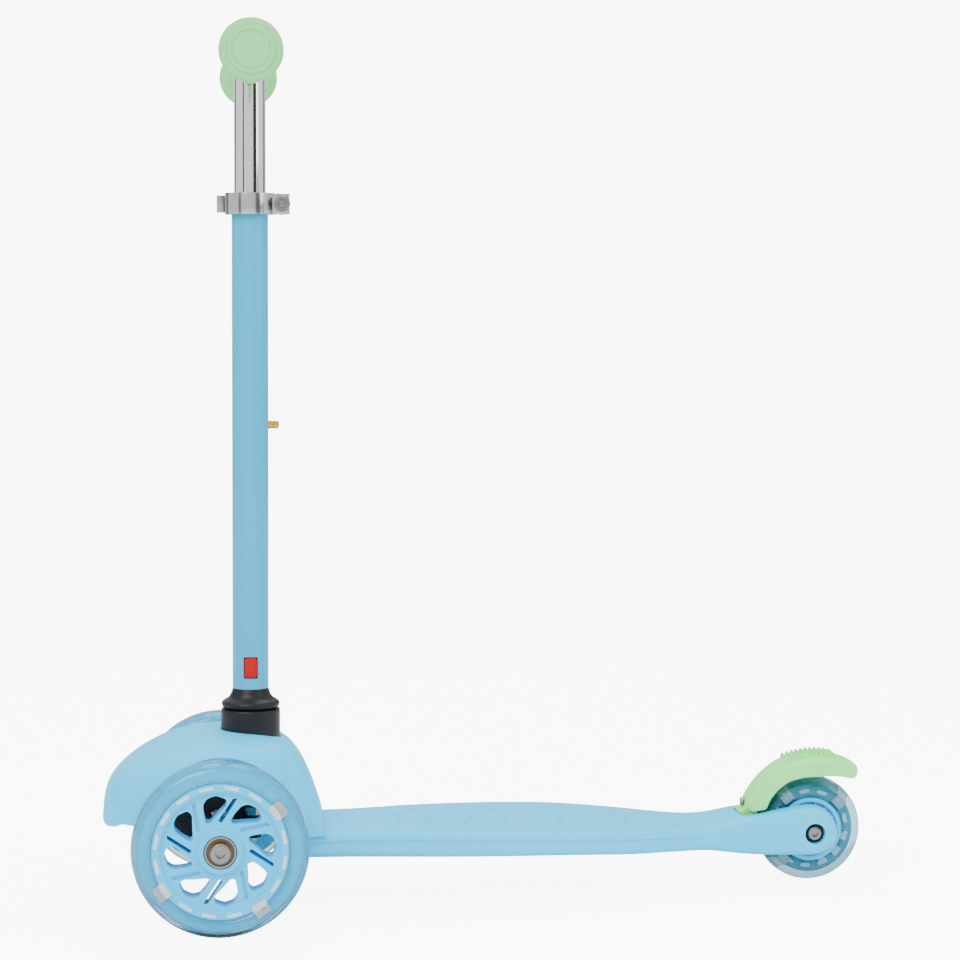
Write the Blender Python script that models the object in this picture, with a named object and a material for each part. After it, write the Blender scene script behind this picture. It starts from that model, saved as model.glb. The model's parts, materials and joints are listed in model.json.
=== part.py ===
"""Toddler's three-wheel kick scooter, steered by leaning its handlebar.

Units are metres and +Z is up. The nose points to -X and the rider's left is -Y. The origin is the middle
of the scooter's box, on the ground. Every moving body has an empty on its joint's axis, which carries the
body's pieces, and each piece is one closed solid.
"""

from math import atan2, cos, pi, radians, sin, sqrt, tan

import bmesh
import bpy
from mathutils import Matrix, Vector

# ---------------------------------------------------------------- driving dimensions
GAP = 0.0003                    # clearance between pieces that touch
WHEELBASE = 0.4234
TRACK = 0.206                   # between the front wheels' middle planes
FRONT_R = 0.060                 # front wheel radius
REAR_R = 0.038                  # rear wheel radius
WHEEL_W = 0.024
NOSE = 0.082                    # front shell ahead of the front axle
FRONT_X = -(WHEELBASE + REAR_R - NOSE) / 2
REAR_X = FRONT_X + WHEELBASE

BEARING_R = 0.011               # 608 bearing: 8 x 22 x 7
BEARING_BORE = 0.0041
BEARING_W = 0.007
AXLE_R = 0.0038

RAKE = radians(1.15)            # the stem leans back from the vertical
STEM_FOOT = 0.1526              # height of the tube's lower end
STEM_X = FRONT_X + 0.0231       # stem axis at that height
TUBE_R = 0.0128                 # painted tube
TUBE_BORE = 0.0117
TUBE_TOP = 0.5018
BAR_R = 0.0111                  # chromed tube, 22.2 mm
BAR_BORE = 0.0099
BAR_Z = 0.5909                  # crossbar height
BAR_HALF = 0.121                # half the handlebar's width
GRIP_INNER = 0.024              # where a grip starts, from the middle

LEAN_Z = 0.100                  # height of the lean pivot
LEVER_Z = 0.0793                # height where the column's lever drives the tie rod
KINGPIN_Y = 0.072
ARM = 0.0221                    # steering arm, kingpin to tie rod end
SEAT_R = 0.0435                 # radius of the collar's ball seat about the lean pivot

CLAMP_Z = (0.4866, 0.5016)      # band's lower and upper edges
CLAMP_R = 0.0176
LUG_X = 0.0225                  # clamp bolt behind the stem's axis
LEVER_Y = 0.0142                # clamp lever's pivot beside it

DETENT_Z = 0.339
BUTTON_Z = 0.168

FENDER_PIVOT = (FRONT_X + 0.3778, 0.0465)
FORK_GAP = 0.0146               # half the width of the rear wheel's slot
FORK_HALF = 0.028

TURN = 2 * pi


# ---------------------------------------------------------------- scene, bodies and finishes
def clear_scene():
    for obj in list(bpy.data.objects):
        bpy.data.objects.remove(obj)


def finish(name, colour, roughness, metallic=0.0):
    """A plain Principled material; colour is linear RGB."""
    material = bpy.data.materials.get(name) or bpy.data.materials.new(name)
    material.use_nodes = True
    shader = material.node_tree.nodes["Principled BSDF"]
    shader.inputs["Base Color"].default_value = (*colour, 1.0)
    shader.inputs["Roughness"].default_value = roughness
    shader.inputs["Metallic"].default_value = metallic
    return material


FINISHES = {
    "blue_plastic": ((0.22, 0.70, 0.90), 0.45),
    "blue_paint": ((0.13, 0.50, 0.70), 0.32),
    "mint_plastic": ((0.45, 0.80, 0.46), 0.5),
    "mint_rubber": ((0.40, 0.73, 0.45), 0.6),
    "black_plastic": ((0.014, 0.015, 0.018), 0.4),
    "red_plastic": ((0.72, 0.02, 0.01), 0.35),
    "black_rubber": ((0.02, 0.02, 0.02), 0.7),
    "clear_tyre": ((0.62, 0.80, 0.88), 0.2),
    "light_block": ((0.60, 0.62, 0.66), 0.3),
    "chrome": ((0.80, 0.80, 0.82), 0.08, 1.0),
    "steel": ((0.55, 0.55, 0.56), 0.3, 1.0),
    "aluminium": ((0.62, 0.63, 0.65), 0.25, 1.0),
    "brass": ((0.72, 0.48, 0.14), 0.3, 1.0),
}

BODIES = {}


def body(name, pivot):
    """An empty on the joint's axis: the parent of every piece that moves together."""
    empty = bpy.data.objects.new(f"{name}_body", None)
    empty.location = pivot
    empty.empty_display_size = 0.02
    bpy.context.collection.objects.link(empty)
    BODIES[name] = empty


def solid(name, mesh, owner, look):
    """Makes the object of a bmesh built in world coordinates, carried by its body's empty."""
    empty = BODIES[owner]
    bmesh.ops.remove_doubles(mesh, verts=mesh.verts, dist=1e-7)
    bmesh.ops.recalc_face_normals(mesh, faces=mesh.faces)
    bmesh.ops.translate(mesh, verts=mesh.verts, vec=-empty.location)
    data = bpy.data.meshes.new(name)
    mesh.to_mesh(data)
    mesh.free()
    data.shade_smooth()
    data.set_sharp_from_angle(angle=radians(35))
    data.materials.append(finish(look, *FINISHES[look]))
    obj = bpy.data.objects.new(name, data)
    obj.parent = empty
    bpy.context.collection.objects.link(obj)
    return obj


def tool(obj, mesh, operation):
    """Joins a bmesh to an object or cuts it away, through a hidden helper and a Boolean."""
    look = obj.data.materials[0].name
    owner = obj.parent.name.removesuffix("_body")
    helper = solid(f"{obj.name}_{operation.lower()}_{len(obj.modifiers)}", mesh, owner, look)
    helper.hide_render = True
    helper.display_type = "WIRE"
    boolean = obj.modifiers.new(operation.title(), "BOOLEAN")
    boolean.operation = operation
    boolean.object = helper
    return obj


def join(obj, mesh):
    return tool(obj, mesh, "UNION")


def cut(obj, mesh):
    return tool(obj, mesh, "DIFFERENCE")


# ---------------------------------------------------------------- shapes
UPRIGHT = Matrix.Identity(4)


def along_y(x, y, z):
    """Local +Z along world +Y and local +X along world +X, with the origin at the point."""
    return Matrix.Translation((x, y, z)) @ Matrix.Rotation(-pi / 2, 4, "X")


def along_x(x, y, z):
    return Matrix.Translation((x, y, z)) @ Matrix.Rotation(pi / 2, 4, "Y")


def stem_x(z):
    return STEM_X + (z - STEM_FOOT) * tan(RAKE)


# Local Z runs up the stem's axis and local X points back.
STEM = Matrix.Translation((stem_x(0), 0, 0)) @ Matrix.Rotation(RAKE, 4, "Y")


def ring_points(count, radius, height, matrix, phase=0.0):
    angles = [phase + TURN * i / count for i in range(count)]
    return [matrix @ Vector((radius * cos(a), radius * sin(a), height)) for a in angles]


def turned(profile, matrix=UPRIGHT, segments=32, hollow=True, mesh=None):
    """Turns an (r, h) profile round local Z: a closed outline if hollow, or from axis to axis if not."""
    mesh = mesh or bmesh.new()
    rows = []
    for radius, height in profile:
        if radius < 1e-6:
            rows.append([mesh.verts.new(matrix @ Vector((0, 0, height)))] * segments)
        else:
            rows.append([mesh.verts.new(p) for p in ring_points(segments, radius, height, matrix)])
    pairs = list(zip(rows, rows[1:]))
    if hollow:
        pairs.append((rows[-1], rows[0]))
    for low, high in pairs:
        for i in range(segments):
            j = (i + 1) % segments
            corners = list(dict.fromkeys((low[i], low[j], high[j], high[i])))
            if len(corners) > 2:
                mesh.faces.new(corners)
    return mesh


def rod(radius, low, high, matrix=UPRIGHT, segments=16, mesh=None):
    profile = [(0, low), (radius, low), (radius, high), (0, high)]
    return turned(profile, matrix, segments, False, mesh)


def prism(outline, low, high, matrix=UPRIGHT, mesh=None):
    """A straight solid on an outline of local (x, y) points."""
    mesh = mesh or bmesh.new()
    rings = [[mesh.verts.new(matrix @ Vector((x, y, h))) for x, y in outline] for h in (low, high)]
    mesh.faces.new(rings[0][::-1])
    mesh.faces.new(rings[1])
    count = len(outline)
    for i in range(count):
        j = (i + 1) % count
        mesh.faces.new((rings[0][i], rings[0][j], rings[1][j], rings[1][i]))
    return mesh


def block(x, y, z, matrix=UPRIGHT, mesh=None):
    """A box from its low and high limits along each local axis."""
    outline = [(x[0], y[0]), (x[1], y[0]), (x[1], y[1]), (x[0], y[1])]
    return prism(outline, z[0], z[1], matrix, mesh)


def lofted(rings, mesh=None):
    """A closed solid through rings of equal length, capped at both ends."""
    mesh = mesh or bmesh.new()
    rows = [[mesh.verts.new(p) for p in ring] for ring in rings]
    count = len(rows[0])
    for low, high in zip(rows, rows[1:]):
        for i in range(count):
            j = (i + 1) % count
            mesh.faces.new((low[i], low[j], high[j], high[i]))
    mesh.faces.new(rows[0][::-1])
    mesh.faces.new(rows[-1])
    return mesh


def between(table, x):
    """Reads a smooth value off (x, value) pairs, easing through each pair with its neighbours' slope."""
    if x <= table[0][0]:
        return table[0][1]
    for i in range(len(table) - 1):
        (x0, v0), (x1, v1) = table[i], table[i + 1]
        if x <= x1:
            before = table[max(i - 1, 0)]
            after = table[min(i + 2, len(table) - 1)]
            m0 = (v1 - before[1]) / (x1 - before[0])
            m1 = (after[1] - v0) / (after[0] - x0)
            step = x1 - x0
            t = (x - x0) / step
            ease = 3 * t * t - 2 * t ** 3
            bend = step * (t * (1 - t) ** 2 * m0 - t * t * (1 - t) * m1)
            return v0 + (v1 - v0) * ease + bend
    return table[-1][1]


def sphere_height(radius, ball):
    """Height on the stem at which a ball about the lean pivot has this radius from the stem's axis."""
    return LEAN_Z + sqrt(ball * ball - radius * radius)


def coil(matrix, radius, wire, low, high, turns, steps=6, sides=4):
    """A spring of round wire, as one closed tube along local Z."""
    rings = []
    total = int(turns * steps)
    for i in range(total + 1):
        angle = TURN * i / steps
        height = low + (high - low) * i / total
        middle = Vector((radius * cos(angle), radius * sin(angle), height))
        out = Vector((cos(angle), sin(angle), 0))
        rise = (high - low) / (turns * TURN * radius)
        side = out.cross(Vector((-sin(angle), cos(angle), rise)).normalized())
        ring = []
        for k in range(sides):
            a = TURN * k / sides
            ring.append(matrix @ (middle + wire * (cos(a) * out + sin(a) * side)))
        rings.append(ring)
    return lofted(rings)


# ---------------------------------------------------------------- deck and front shell
# Stations behind the front axle: half width, top and bottom of the deck.
DECK_HALF = [
    (0.0465, 0.0465), (0.070, 0.0455), (0.090, 0.0452), (0.120, 0.049), (0.150, 0.0535), (0.190, 0.0573),
    (0.225, 0.058), (0.260, 0.0548), (0.290, 0.0475), (0.315, 0.0385), (0.335, 0.0328), (0.352, 0.0298),
    (0.370, 0.0283), (0.390, FORK_HALF), (0.426, FORK_HALF), (0.434, 0.0272), (0.4385, 0.0255),
    (0.4403, 0.0235),
]
DECK_TOP = [
    (0.0465, 0.055), (0.086, 0.055), (0.122, 0.055), (0.135, 0.055), (0.200, 0.0535), (0.240, 0.0518),
    (0.290, 0.0484), (0.335, 0.0456), (0.352, 0.0466), (0.368, 0.0495), (0.385, 0.0518), (0.400, 0.0545),
    (0.414, 0.0566), (0.426, 0.0566), (0.434, 0.0525), (0.4385, 0.0465), (0.4403, 0.0405),
]
DECK_BOTTOM = [
    (0.0465, 0.0385), (0.090, 0.037), (0.150, 0.0365), (0.225, 0.0355), (0.260, 0.034), (0.290, 0.0317),
    (0.320, 0.030), (0.345, 0.0287), (0.368, 0.0252), (0.385, 0.0235), (0.410, 0.0224), (0.424, 0.0222),
    (0.432, 0.0246), (0.4385, 0.0292), (0.4403, 0.0345),
]
DECK_STATIONS = [
    0.0465, 0.070, 0.088, 0.120, 0.150, 0.175, 0.200, 0.225, 0.250, 0.275, 0.295, 0.315, 0.335, 0.352,
    0.368, 0.385, 0.400, 0.414, 0.426, 0.434, 0.4385, 0.4403,
]
DECK_SHOULDER = 0.0042          # the rounded step from the side face up to the tread


def deck_ring(x):
    half = between(DECK_HALF, x)
    top = between(DECK_TOP, x)
    bottom = between(DECK_BOTTOM, x)
    size = min(1.0, (top - bottom) / 0.013)
    right = [
        (half - 0.0048 * size, bottom),
        (half, bottom + 0.0040 * size),
        (half, top - DECK_SHOULDER * size),
        (half - 0.0018 * size, top - DECK_SHOULDER / 3 * size),
        (half - 0.0058 * size, top),
    ]
    left = [(-y, z) for y, z in reversed(right)]
    return [Vector((FRONT_X + x, y, z)) for y, z in right + left]


def deck_pockets():
    """Moulded hollows under the tread, between a spine, cross ribs and the side walls."""
    mesh = bmesh.new()
    starts = [0.056 + 0.036 * i for i in range(8)]
    for start in starts:
        end = start + 0.033
        inner = min(between(DECK_HALF, start), between(DECK_HALF, end)) - 0.0085
        roof = min(between(DECK_TOP, start), between(DECK_TOP, end)) - 0.0035
        for side in (-1, 1):
            limits = sorted((side * 0.0015, side * inner))
            block((FRONT_X + start, FRONT_X + end), limits, (0.010, roof), mesh=mesh)
    return mesh


def make_deck():
    deck = solid("deck", lofted([deck_ring(x) for x in DECK_STATIONS]), "root", "blue_plastic")
    cut(deck, deck_pockets())
    slot_front = REAR_X - REAR_R - 0.0135
    cut(deck, block((slot_front, REAR_X + 0.03), (-FORK_GAP, FORK_GAP), (0.010, 0.070)))
    axle = along_y(REAR_X, 0, REAR_R)
    bosses = bmesh.new()
    for side in (-1, 1):
        low, high = sorted((side * (WHEEL_W / 2 + GAP), side * (FORK_GAP + 0.002)))
        rod(0.0064, low, high, axle, mesh=bosses)
    join(deck, bosses)
    bore = [(0, -0.040), (0.0074, -0.040), (0.0074, -0.0222), (0.0042, -0.0222)]
    bore += [(r, -h) for r, h in reversed(bore)]
    cut(deck, turned(bore, axle, 16, False))
    pivot = along_y(FENDER_PIVOT[0], 0, FENDER_PIVOT[1])
    cut(deck, rod(0.0029, -0.0225, 0.0225, pivot, 16))


# Front shell: half width and crown height behind the axle, and how far each stands in from the nose.
SHELL_HALF = [
    (-0.082, 0.020), (-0.0805, 0.032), (-0.076, 0.045), (-0.069, 0.0565), (-0.060, 0.0660), (-0.048, 0.0730),
    (-0.030, 0.0775), (0.000, 0.0780), (0.020, 0.0745), (0.036, 0.0665), (0.050, 0.0570), (0.062, 0.0505),
    (0.072, 0.0475),
]
SHELL_TOP = [
    (-0.082, 0.0700), (-0.0805, 0.0830), (-0.076, 0.0925), (-0.069, 0.1000), (-0.060, 0.1068),
    (-0.048, 0.1135), (-0.034, 0.1192), (-0.018, 0.1228), (0.000, 0.1240), (0.020, 0.1232), (0.036, 0.1202),
    (0.047, 0.1150), (0.056, 0.1050), (0.063, 0.0910), (0.069, 0.0740), (0.072, 0.0630),
]
SHELL_STATIONS = [
    -0.082, -0.0805, -0.076, -0.069, -0.060, -0.048, -0.034, -0.018, 0.000, 0.018, 0.034, 0.047, 0.056,
    0.063, 0.069, 0.072,
]
SHELL_WALL = 0.003
SHELL_POINTS = 14               # steps over the crown of one section
ARCH_R = 0.054                  # wheel arch in each side wall, about the front axle
RIM_Z = 0.058                   # lower rim at the nose's middle


def shell_rim(x, y):
    """The lower rim rises towards the sides at the nose, rounds up to its tip, and sits on the deck behind."""
    if x > 0.046:
        return 0.0556
    rise = min(abs(y) / 0.060, 1.0)
    ahead = min(max((-0.071 - x) / 0.0112, 0.0), 1.0)
    return RIM_Z + 0.012 * rise * rise + 0.0100 * (1 - sqrt(1 - ahead * ahead))


def shell_ring(x, inset):
    half = between(SHELL_HALF, x) - inset
    top = between(SHELL_TOP, x) - inset
    ring = []
    for i in range(SHELL_POINTS + 1):
        angle = pi * i / SHELL_POINTS
        across, up = cos(angle), sin(angle)
        y = half * (1 if across > 0 else -1) * abs(across) ** 0.62
        low = shell_rim(x, y) - (0.030 if inset else 0.0)
        ring.append((y, low + (top - low) * up ** 0.62))
    return [Vector((FRONT_X + x, y, z)) for y, z in ring]


def make_front_shell():
    outer = lofted([shell_ring(x, 0) for x in SHELL_STATIONS])
    shell = solid("front_shell", outer, "root", "blue_plastic")
    inner = [-0.0785, -0.076, -0.069, -0.060, -0.048, -0.034, -0.018, 0.000, 0.018, 0.034, 0.046]
    cut(shell, lofted([shell_ring(x, SHELL_WALL) for x in inner]))
    arches = bmesh.new()
    for low, high in ((-0.090, -0.0615), (0.0615, 0.090)):
        rod(ARCH_R, low, high, along_y(FRONT_X, 0, FRONT_R), 32, arches)
    cut(shell, arches)
    cut(shell, rod(0.0214, 0.100, 0.140, STEM, 24))


# ---------------------------------------------------------------- truck under the shell
PIVOT_X = stem_x(LEAN_Z)
CHEEK = (0.0145, 0.0195)        # lean pivot lugs, from the pivot's middle


def make_truck():
    x = FRONT_X
    beam = block((x - 0.044, x + 0.004), (-0.058, 0.058), (0.0555, 0.092))
    beam = solid("truck_beam", beam, "root", "black_plastic")
    join(beam, block((x - 0.030, x + 0.0458), (-0.0480, 0.0480), (0.062, 0.076)))
    lugs = bmesh.new()
    for side in (-1, 1):
        y = sorted((side * 0.055, side * 0.0805))
        block((x - 0.009, x + 0.009), y, (0.0686, 0.0765), mesh=lugs)
        block((x - 0.0085, x + 0.0085), y, (0.0460, 0.0514), mesh=lugs)
    join(beam, lugs)
    webs = bmesh.new()
    for side in (-1, 1):
        block((x - 0.008, x + 0.008), sorted((side * 0.0545, side * 0.0605)), (0.0465, 0.070), mesh=webs)
    join(beam, webs)
    cheeks = bmesh.new()
    for low, high in ((-CHEEK[1], -CHEEK[0]), CHEEK):
        block((PIVOT_X + low, PIVOT_X + high), (-0.0165, 0.0165), (0.070, 0.1094), mesh=cheeks)
    join(beam, cheeks)
    stops = bmesh.new()
    for side in (-1, 1):
        y = sorted((side * 0.0135, side * 0.0162))
        block((PIVOT_X - 0.016, PIVOT_X + 0.016), y, (0.0836, 0.093), mesh=stops)
    join(beam, stops)
    cut(beam, rod(0.0043, -0.030, 0.0235, along_x(PIVOT_X, 0, LEAN_Z)))
    bores = bmesh.new()
    for side in (-1, 1):
        rod(0.0043, 0.040, 0.090, Matrix.Translation((x, side * KINGPIN_Y, 0)), mesh=bores)
    cut(beam, bores)


def make_kingpins():
    for side, name in ((-1, "left"), (1, "right")):
        place = Matrix.Translation((FRONT_X, side * KINGPIN_Y, 0))
        profile = [(0, 0.0452), (AXLE_R, 0.0452), (AXLE_R, 0.0768), (0.0062, 0.0768), (0.0062, 0.0795),
                   (0.0046, 0.0805), (0, 0.0805)]
        solid(f"kingpin_{name}", turned(profile, place, 16, False), "root", "steel")


def make_lean_pin():
    profile = [(0, -0.0255), (0.0056, -0.0255), (0.0056, -0.0199), (AXLE_R, -0.0199), (AXLE_R, 0.0205),
               (0, 0.0205)]
    pin = turned(profile, along_x(PIVOT_X, 0, LEAN_Z), 16, False)
    solid("lean_pivot_pin", pin, "root", "steel")


def make_lean_buffers():
    """Rubber blocks that push the column back upright."""
    for side, name in ((-1, "left"), (1, "right")):
        low, high = sorted((side * 0.0041, side * 0.0132))
        rubber = rod(0.0028, low, high, along_y(PIVOT_X, 0, 0.0868), 16)
        solid(f"lean_buffer_{name}", rubber, "root", "black_rubber")


def make_collar_ring():
    outer = 0.0209
    inner = 0.0165
    ball = SEAT_R - 0.0008
    seat = [(r, sphere_height(r, ball)) for r in (0.0198, 0.0182, inner)]
    profile = [(inner, 0.1103), (outer, 0.1103), (outer, 0.1368), (0.0205, 0.1378)] + seat
    solid("collar_ring", turned(profile, STEM, 24), "root", "black_plastic")


# ---------------------------------------------------------------- column and stem
def make_column():
    """The leaning core: a boss on the pivot pin, a shaft up into the tube and a lever down to the tie rod."""
    profile = [(0, 0.100), (0.0074, 0.100), (0.0074, 0.1445), (0.0112, 0.1535), (0.0112, 0.1835),
               (0.0104, 0.185), (0, 0.185)]
    core = solid("column_core", turned(profile, STEM, 24, False), "column", "black_plastic")
    join(core, rod(0.0090, -0.0138, 0.0138, along_x(PIVOT_X, 0, LEAN_Z), 20))
    lever = [(-0.0036, 0.0772), (0.0036, 0.0772), (0.0036, 0.096), (-0.0036, 0.096)]
    join(core, prism(lever, -0.0044, 0.0044, Matrix.Translation((PIVOT_X, 0, 0)) @ Matrix.Rotation(
        pi / 2, 4, "Z") @ Matrix.Rotation(pi / 2, 4, "X")))
    cut(core, rod(0.0043, -0.020, 0.020, along_x(PIVOT_X, 0, LEAN_Z)))
    cut(core, block((-0.0049, 0.0049), (-0.020, 0.0045), (BUTTON_Z - 0.0076, BUTTON_Z + 0.0076), STEM))


def make_boot():
    """The collar's upper half, which leans with the stem on the ring's ball seat."""
    bore = 0.0080
    seat = [(r, sphere_height(r, SEAT_R)) for r in (bore, 0.0125, 0.0165, 0.0192)]
    profile = seat + [(0.0205, 0.1412), (0.0202, 0.1428), (0.0184, 0.1443), (0.0150, 0.1466), (0.0134, 0.1500),
                      (0.0128, 0.1522), (0.0118, 0.1522), (bore, 0.1440)]
    solid("column_boot", turned(profile, STEM, 24), "column", "black_plastic")


def make_stem_tube():
    profile = [(TUBE_BORE, STEM_FOOT), (TUBE_R, STEM_FOOT), (TUBE_R, TUBE_TOP), (TUBE_BORE, TUBE_TOP)]
    tube = solid("stem_tube", turned(profile, STEM, 28), "column", "blue_paint")
    cut(tube, block((-0.0049, 0.0049), (-0.020, 0), (BUTTON_Z - 0.0076, BUTTON_Z + 0.0076), STEM))
    hole = STEM @ along_x(0, 0, DETENT_Z)
    cut(tube, rod(0.0034, 0.005, 0.020, hole, 16))


def make_release_button():
    half_w, half_h, corner = 0.00435, 0.0070, 0.0012
    outline = []
    for cx, cz, start in ((1, 1, 0), (-1, 1, 1), (-1, -1, 2), (1, -1, 3)):
        for k in range(3):
            angle = pi / 2 * (start + k / 2)
            x = cx * (half_w - corner) + corner * cos(angle)
            z = cz * (half_h - corner) + corner * sin(angle)
            outline.append((x, -z))
    button = prism(outline, -0.0136, -0.0062, STEM @ along_y(0, 0, BUTTON_Z))
    solid("release_button", button, "release_button", "red_plastic")
    spring = coil(STEM @ along_y(0, 0, BUTTON_Z), 0.0026, 0.0004, -0.0054, 0.0036, 3)
    solid("button_spring", spring, "column", "steel")


def make_detent():
    """A sprung brass pin through the tube's wall, its nose in the sliding bar's keyway."""
    place = STEM @ along_x(0, 0, DETENT_Z)
    profile = [(0, 0.0062), (0.0042, 0.0062), (0.0042, 0.0074), (0.0029, 0.0074), (0.0029, 0.0188)]
    dome = [(0.0029 * cos(a), 0.0188 + 0.0017 * sin(a)) for a in (0.4, 0.8, 1.2)]
    pin = turned(profile + dome + [(0, 0.0205)], place, 16, False)
    solid("detent_pin", pin, "detent_pin", "brass")
    path = [(0.0056, 0.346), (0.0056, 0.336), (0.0010, 0.309), (-0.0010, 0.309), (-0.0086, 0.336),
            (-0.0086, 0.346)]
    thick = 0.0006
    outline = path + [(x - thick if x > 0 else x + thick, z + thick * 0.6) for x, z in reversed(path)]
    flat = STEM @ Matrix.Rotation(pi / 2, 4, "X")
    solid("detent_spring", prism(outline, -0.0030, 0.0030, flat), "column", "steel")


# ---------------------------------------------------------------- handlebar
KEYWAY = (0.263, 0.410)         # slot that lets the bar slide past the pin
BAR_FOOT = 0.2552


def make_handlebar():
    bar_x = stem_x(BAR_Z)
    cross = along_y(bar_x, 0, BAR_Z)
    bar_end = BAR_HALF - 0.0055
    bar = solid("t_bar", rod(BAR_R, BAR_FOOT, BAR_Z, STEM, 28), "handlebar", "chrome")
    join(bar, rod(BAR_R, -bar_end, bar_end, cross, 28))
    cut(bar, rod(BAR_BORE, BAR_FOOT - 0.01, BAR_Z, STEM, 28))
    cut(bar, rod(BAR_BORE, -BAR_HALF, BAR_HALF, cross, 28))
    cut(bar, block((0.004, 0.015), (-0.0036, 0.0036), KEYWAY, STEM))
    for side, name in ((-1, "left"), (1, "right")):
        solid(f"grip_{name}", grip(cross, side), "handlebar", "mint_rubber")


def grip(cross, side):
    """A sleeve with a wide flange and a closed, slightly stepped end."""
    wall = BAR_R + 0.0004
    body_r = 0.0152
    start, flange, end = GRIP_INNER, BAR_HALF - 0.0085, BAR_HALF
    profile = [(wall, start), (body_r - 0.0006, start), (body_r, start + 0.001)]
    profile += [(body_r + 0.001, flange - 0.002), (0.0205, flange), (0.0214, flange + 0.0012),
                (0.0214, flange + 0.0040), (0.0196, flange + 0.0058), (0.0160, flange + 0.0066), (0.0156, end),
                (0, end), (0, end - 0.0045), (wall, end - 0.0045)]
    mirrored = Matrix.Rotation(pi, 4, "Z") if side < 0 else UPRIGHT
    turn = Matrix.Rotation(pi, 4, "X") if side < 0 else UPRIGHT
    return turned(profile, cross @ turn @ mirrored, 24)


# ---------------------------------------------------------------- clamp
def make_clamp():
    low, high = CLAMP_Z
    profile = [(TUBE_R + 0.00035, low), (CLAMP_R - 0.0006, low), (CLAMP_R, low + 0.0006),
               (CLAMP_R, high - 0.0006), (CLAMP_R - 0.0006, high), (TUBE_R + 0.00035, high)]
    band = solid("clamp_band", turned(profile, STEM, 28), "column", "aluminium")
    ears = [(0.0138, -0.0078), (0.0262, -0.0078), (0.0278, -0.0062), (0.0278, 0.0062), (0.0262, 0.0078),
            (0.0138, 0.0078)]
    join(band, prism(ears, low + 0.0004, high - 0.0004, STEM))
    cut(band, block((0.005, 0.040), (-0.0011, 0.0011), (low - 0.01, high + 0.01), STEM))
    middle = (low + high) / 2
    bolt_line = STEM @ along_y(LUG_X, 0, middle)
    cut(band, rod(0.0033, -0.020, 0.020, bolt_line))

    shaft = [(0, -0.0128), (0.0027, -0.0128), (0.0027, 0.0125), (0, 0.0125)]
    bolt = solid("clamp_bolt", turned(shaft, bolt_line, 16, False), "column", "steel")
    pivot = STEM @ Matrix.Translation((LUG_X, LEVER_Y, middle))
    join(bolt, rod(0.0042, -0.0031, 0.0031, pivot))
    cut(bolt, rod(0.0023, -0.010, 0.010, pivot, 16))
    section = [(0.0030, -0.0122), (0.0052, -0.0122), (0.0056, -0.0118), (0.0056, -0.0081), (0.0030, -0.0081)]
    nut = turned(section, bolt_line, 18)
    solid("clamp_nut", nut, "column", "steel")
    solid("clamp_lever_pin", rod(0.0020, -0.0072, 0.0072, pivot, 16), "column", "steel")
    make_clamp_lever(middle, pivot)


def make_clamp_lever(middle, pivot):
    """A cam on the pivot pin with an arm that wraps forward round the band."""
    start = atan2(LEVER_Y, LUG_X)
    inner, outer = 0.0190, 0.0226
    angles = [start + radians(6) + (radians(164) - start - radians(6)) * i / 14 for i in range(15)]
    tip = (0.0236 * cos(radians(170)), 0.0236 * sin(radians(170)))
    arm = [(outer * cos(a), outer * sin(a)) for a in angles] + [tip]
    arm += [(inner * cos(a), inner * sin(a)) for a in reversed(angles)]
    lever = prism(arm, middle - 0.0060, middle + 0.0060, STEM)
    lever = solid("clamp_lever", lever, "clamp_lever", "aluminium")
    join(lever, rod(0.0058, -0.0060, 0.0060, pivot, 24))
    slot = prism([(0.0075 * cos(TURN * i / 20), 0.0075 * sin(TURN * i / 20)) for i in range(20)], -0.0035,
                 0.0035, pivot)
    cut(lever, slot)
    cut(lever, rod(0.0024, -0.010, 0.010, pivot, 16))


# ---------------------------------------------------------------- steering
def make_tie_rod():
    low, high = 0.0769, 0.0818
    bar = block((PIVOT_X - 0.003, PIVOT_X + 0.003), (-KINGPIN_Y, KINGPIN_Y), (low, high))
    bar = solid("tie_rod", bar, "tie_rod", "steel")
    eyes = bmesh.new()
    for side in (-1, 1):
        end = Matrix.Translation((FRONT_X + ARM, side * KINGPIN_Y, 0))
        rod(0.0062, low - 0.0002, high + 0.0002, end, mesh=eyes)
    block((PIVOT_X - 0.0085, PIVOT_X + 0.0085), (-0.009, 0.009), (low - 0.0002, high + 0.0002), mesh=eyes)
    join(bar, eyes)
    holes = bmesh.new()
    for side in (-1, 1):
        rod(0.0033, 0.070, 0.090, Matrix.Translation((FRONT_X + ARM, side * KINGPIN_Y, 0)), 16, holes)
    block((PIVOT_X - 0.0055, PIVOT_X + 0.0055), (-0.0046, 0.0046), (0.070, 0.090), mesh=holes)
    cut(bar, holes)


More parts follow.
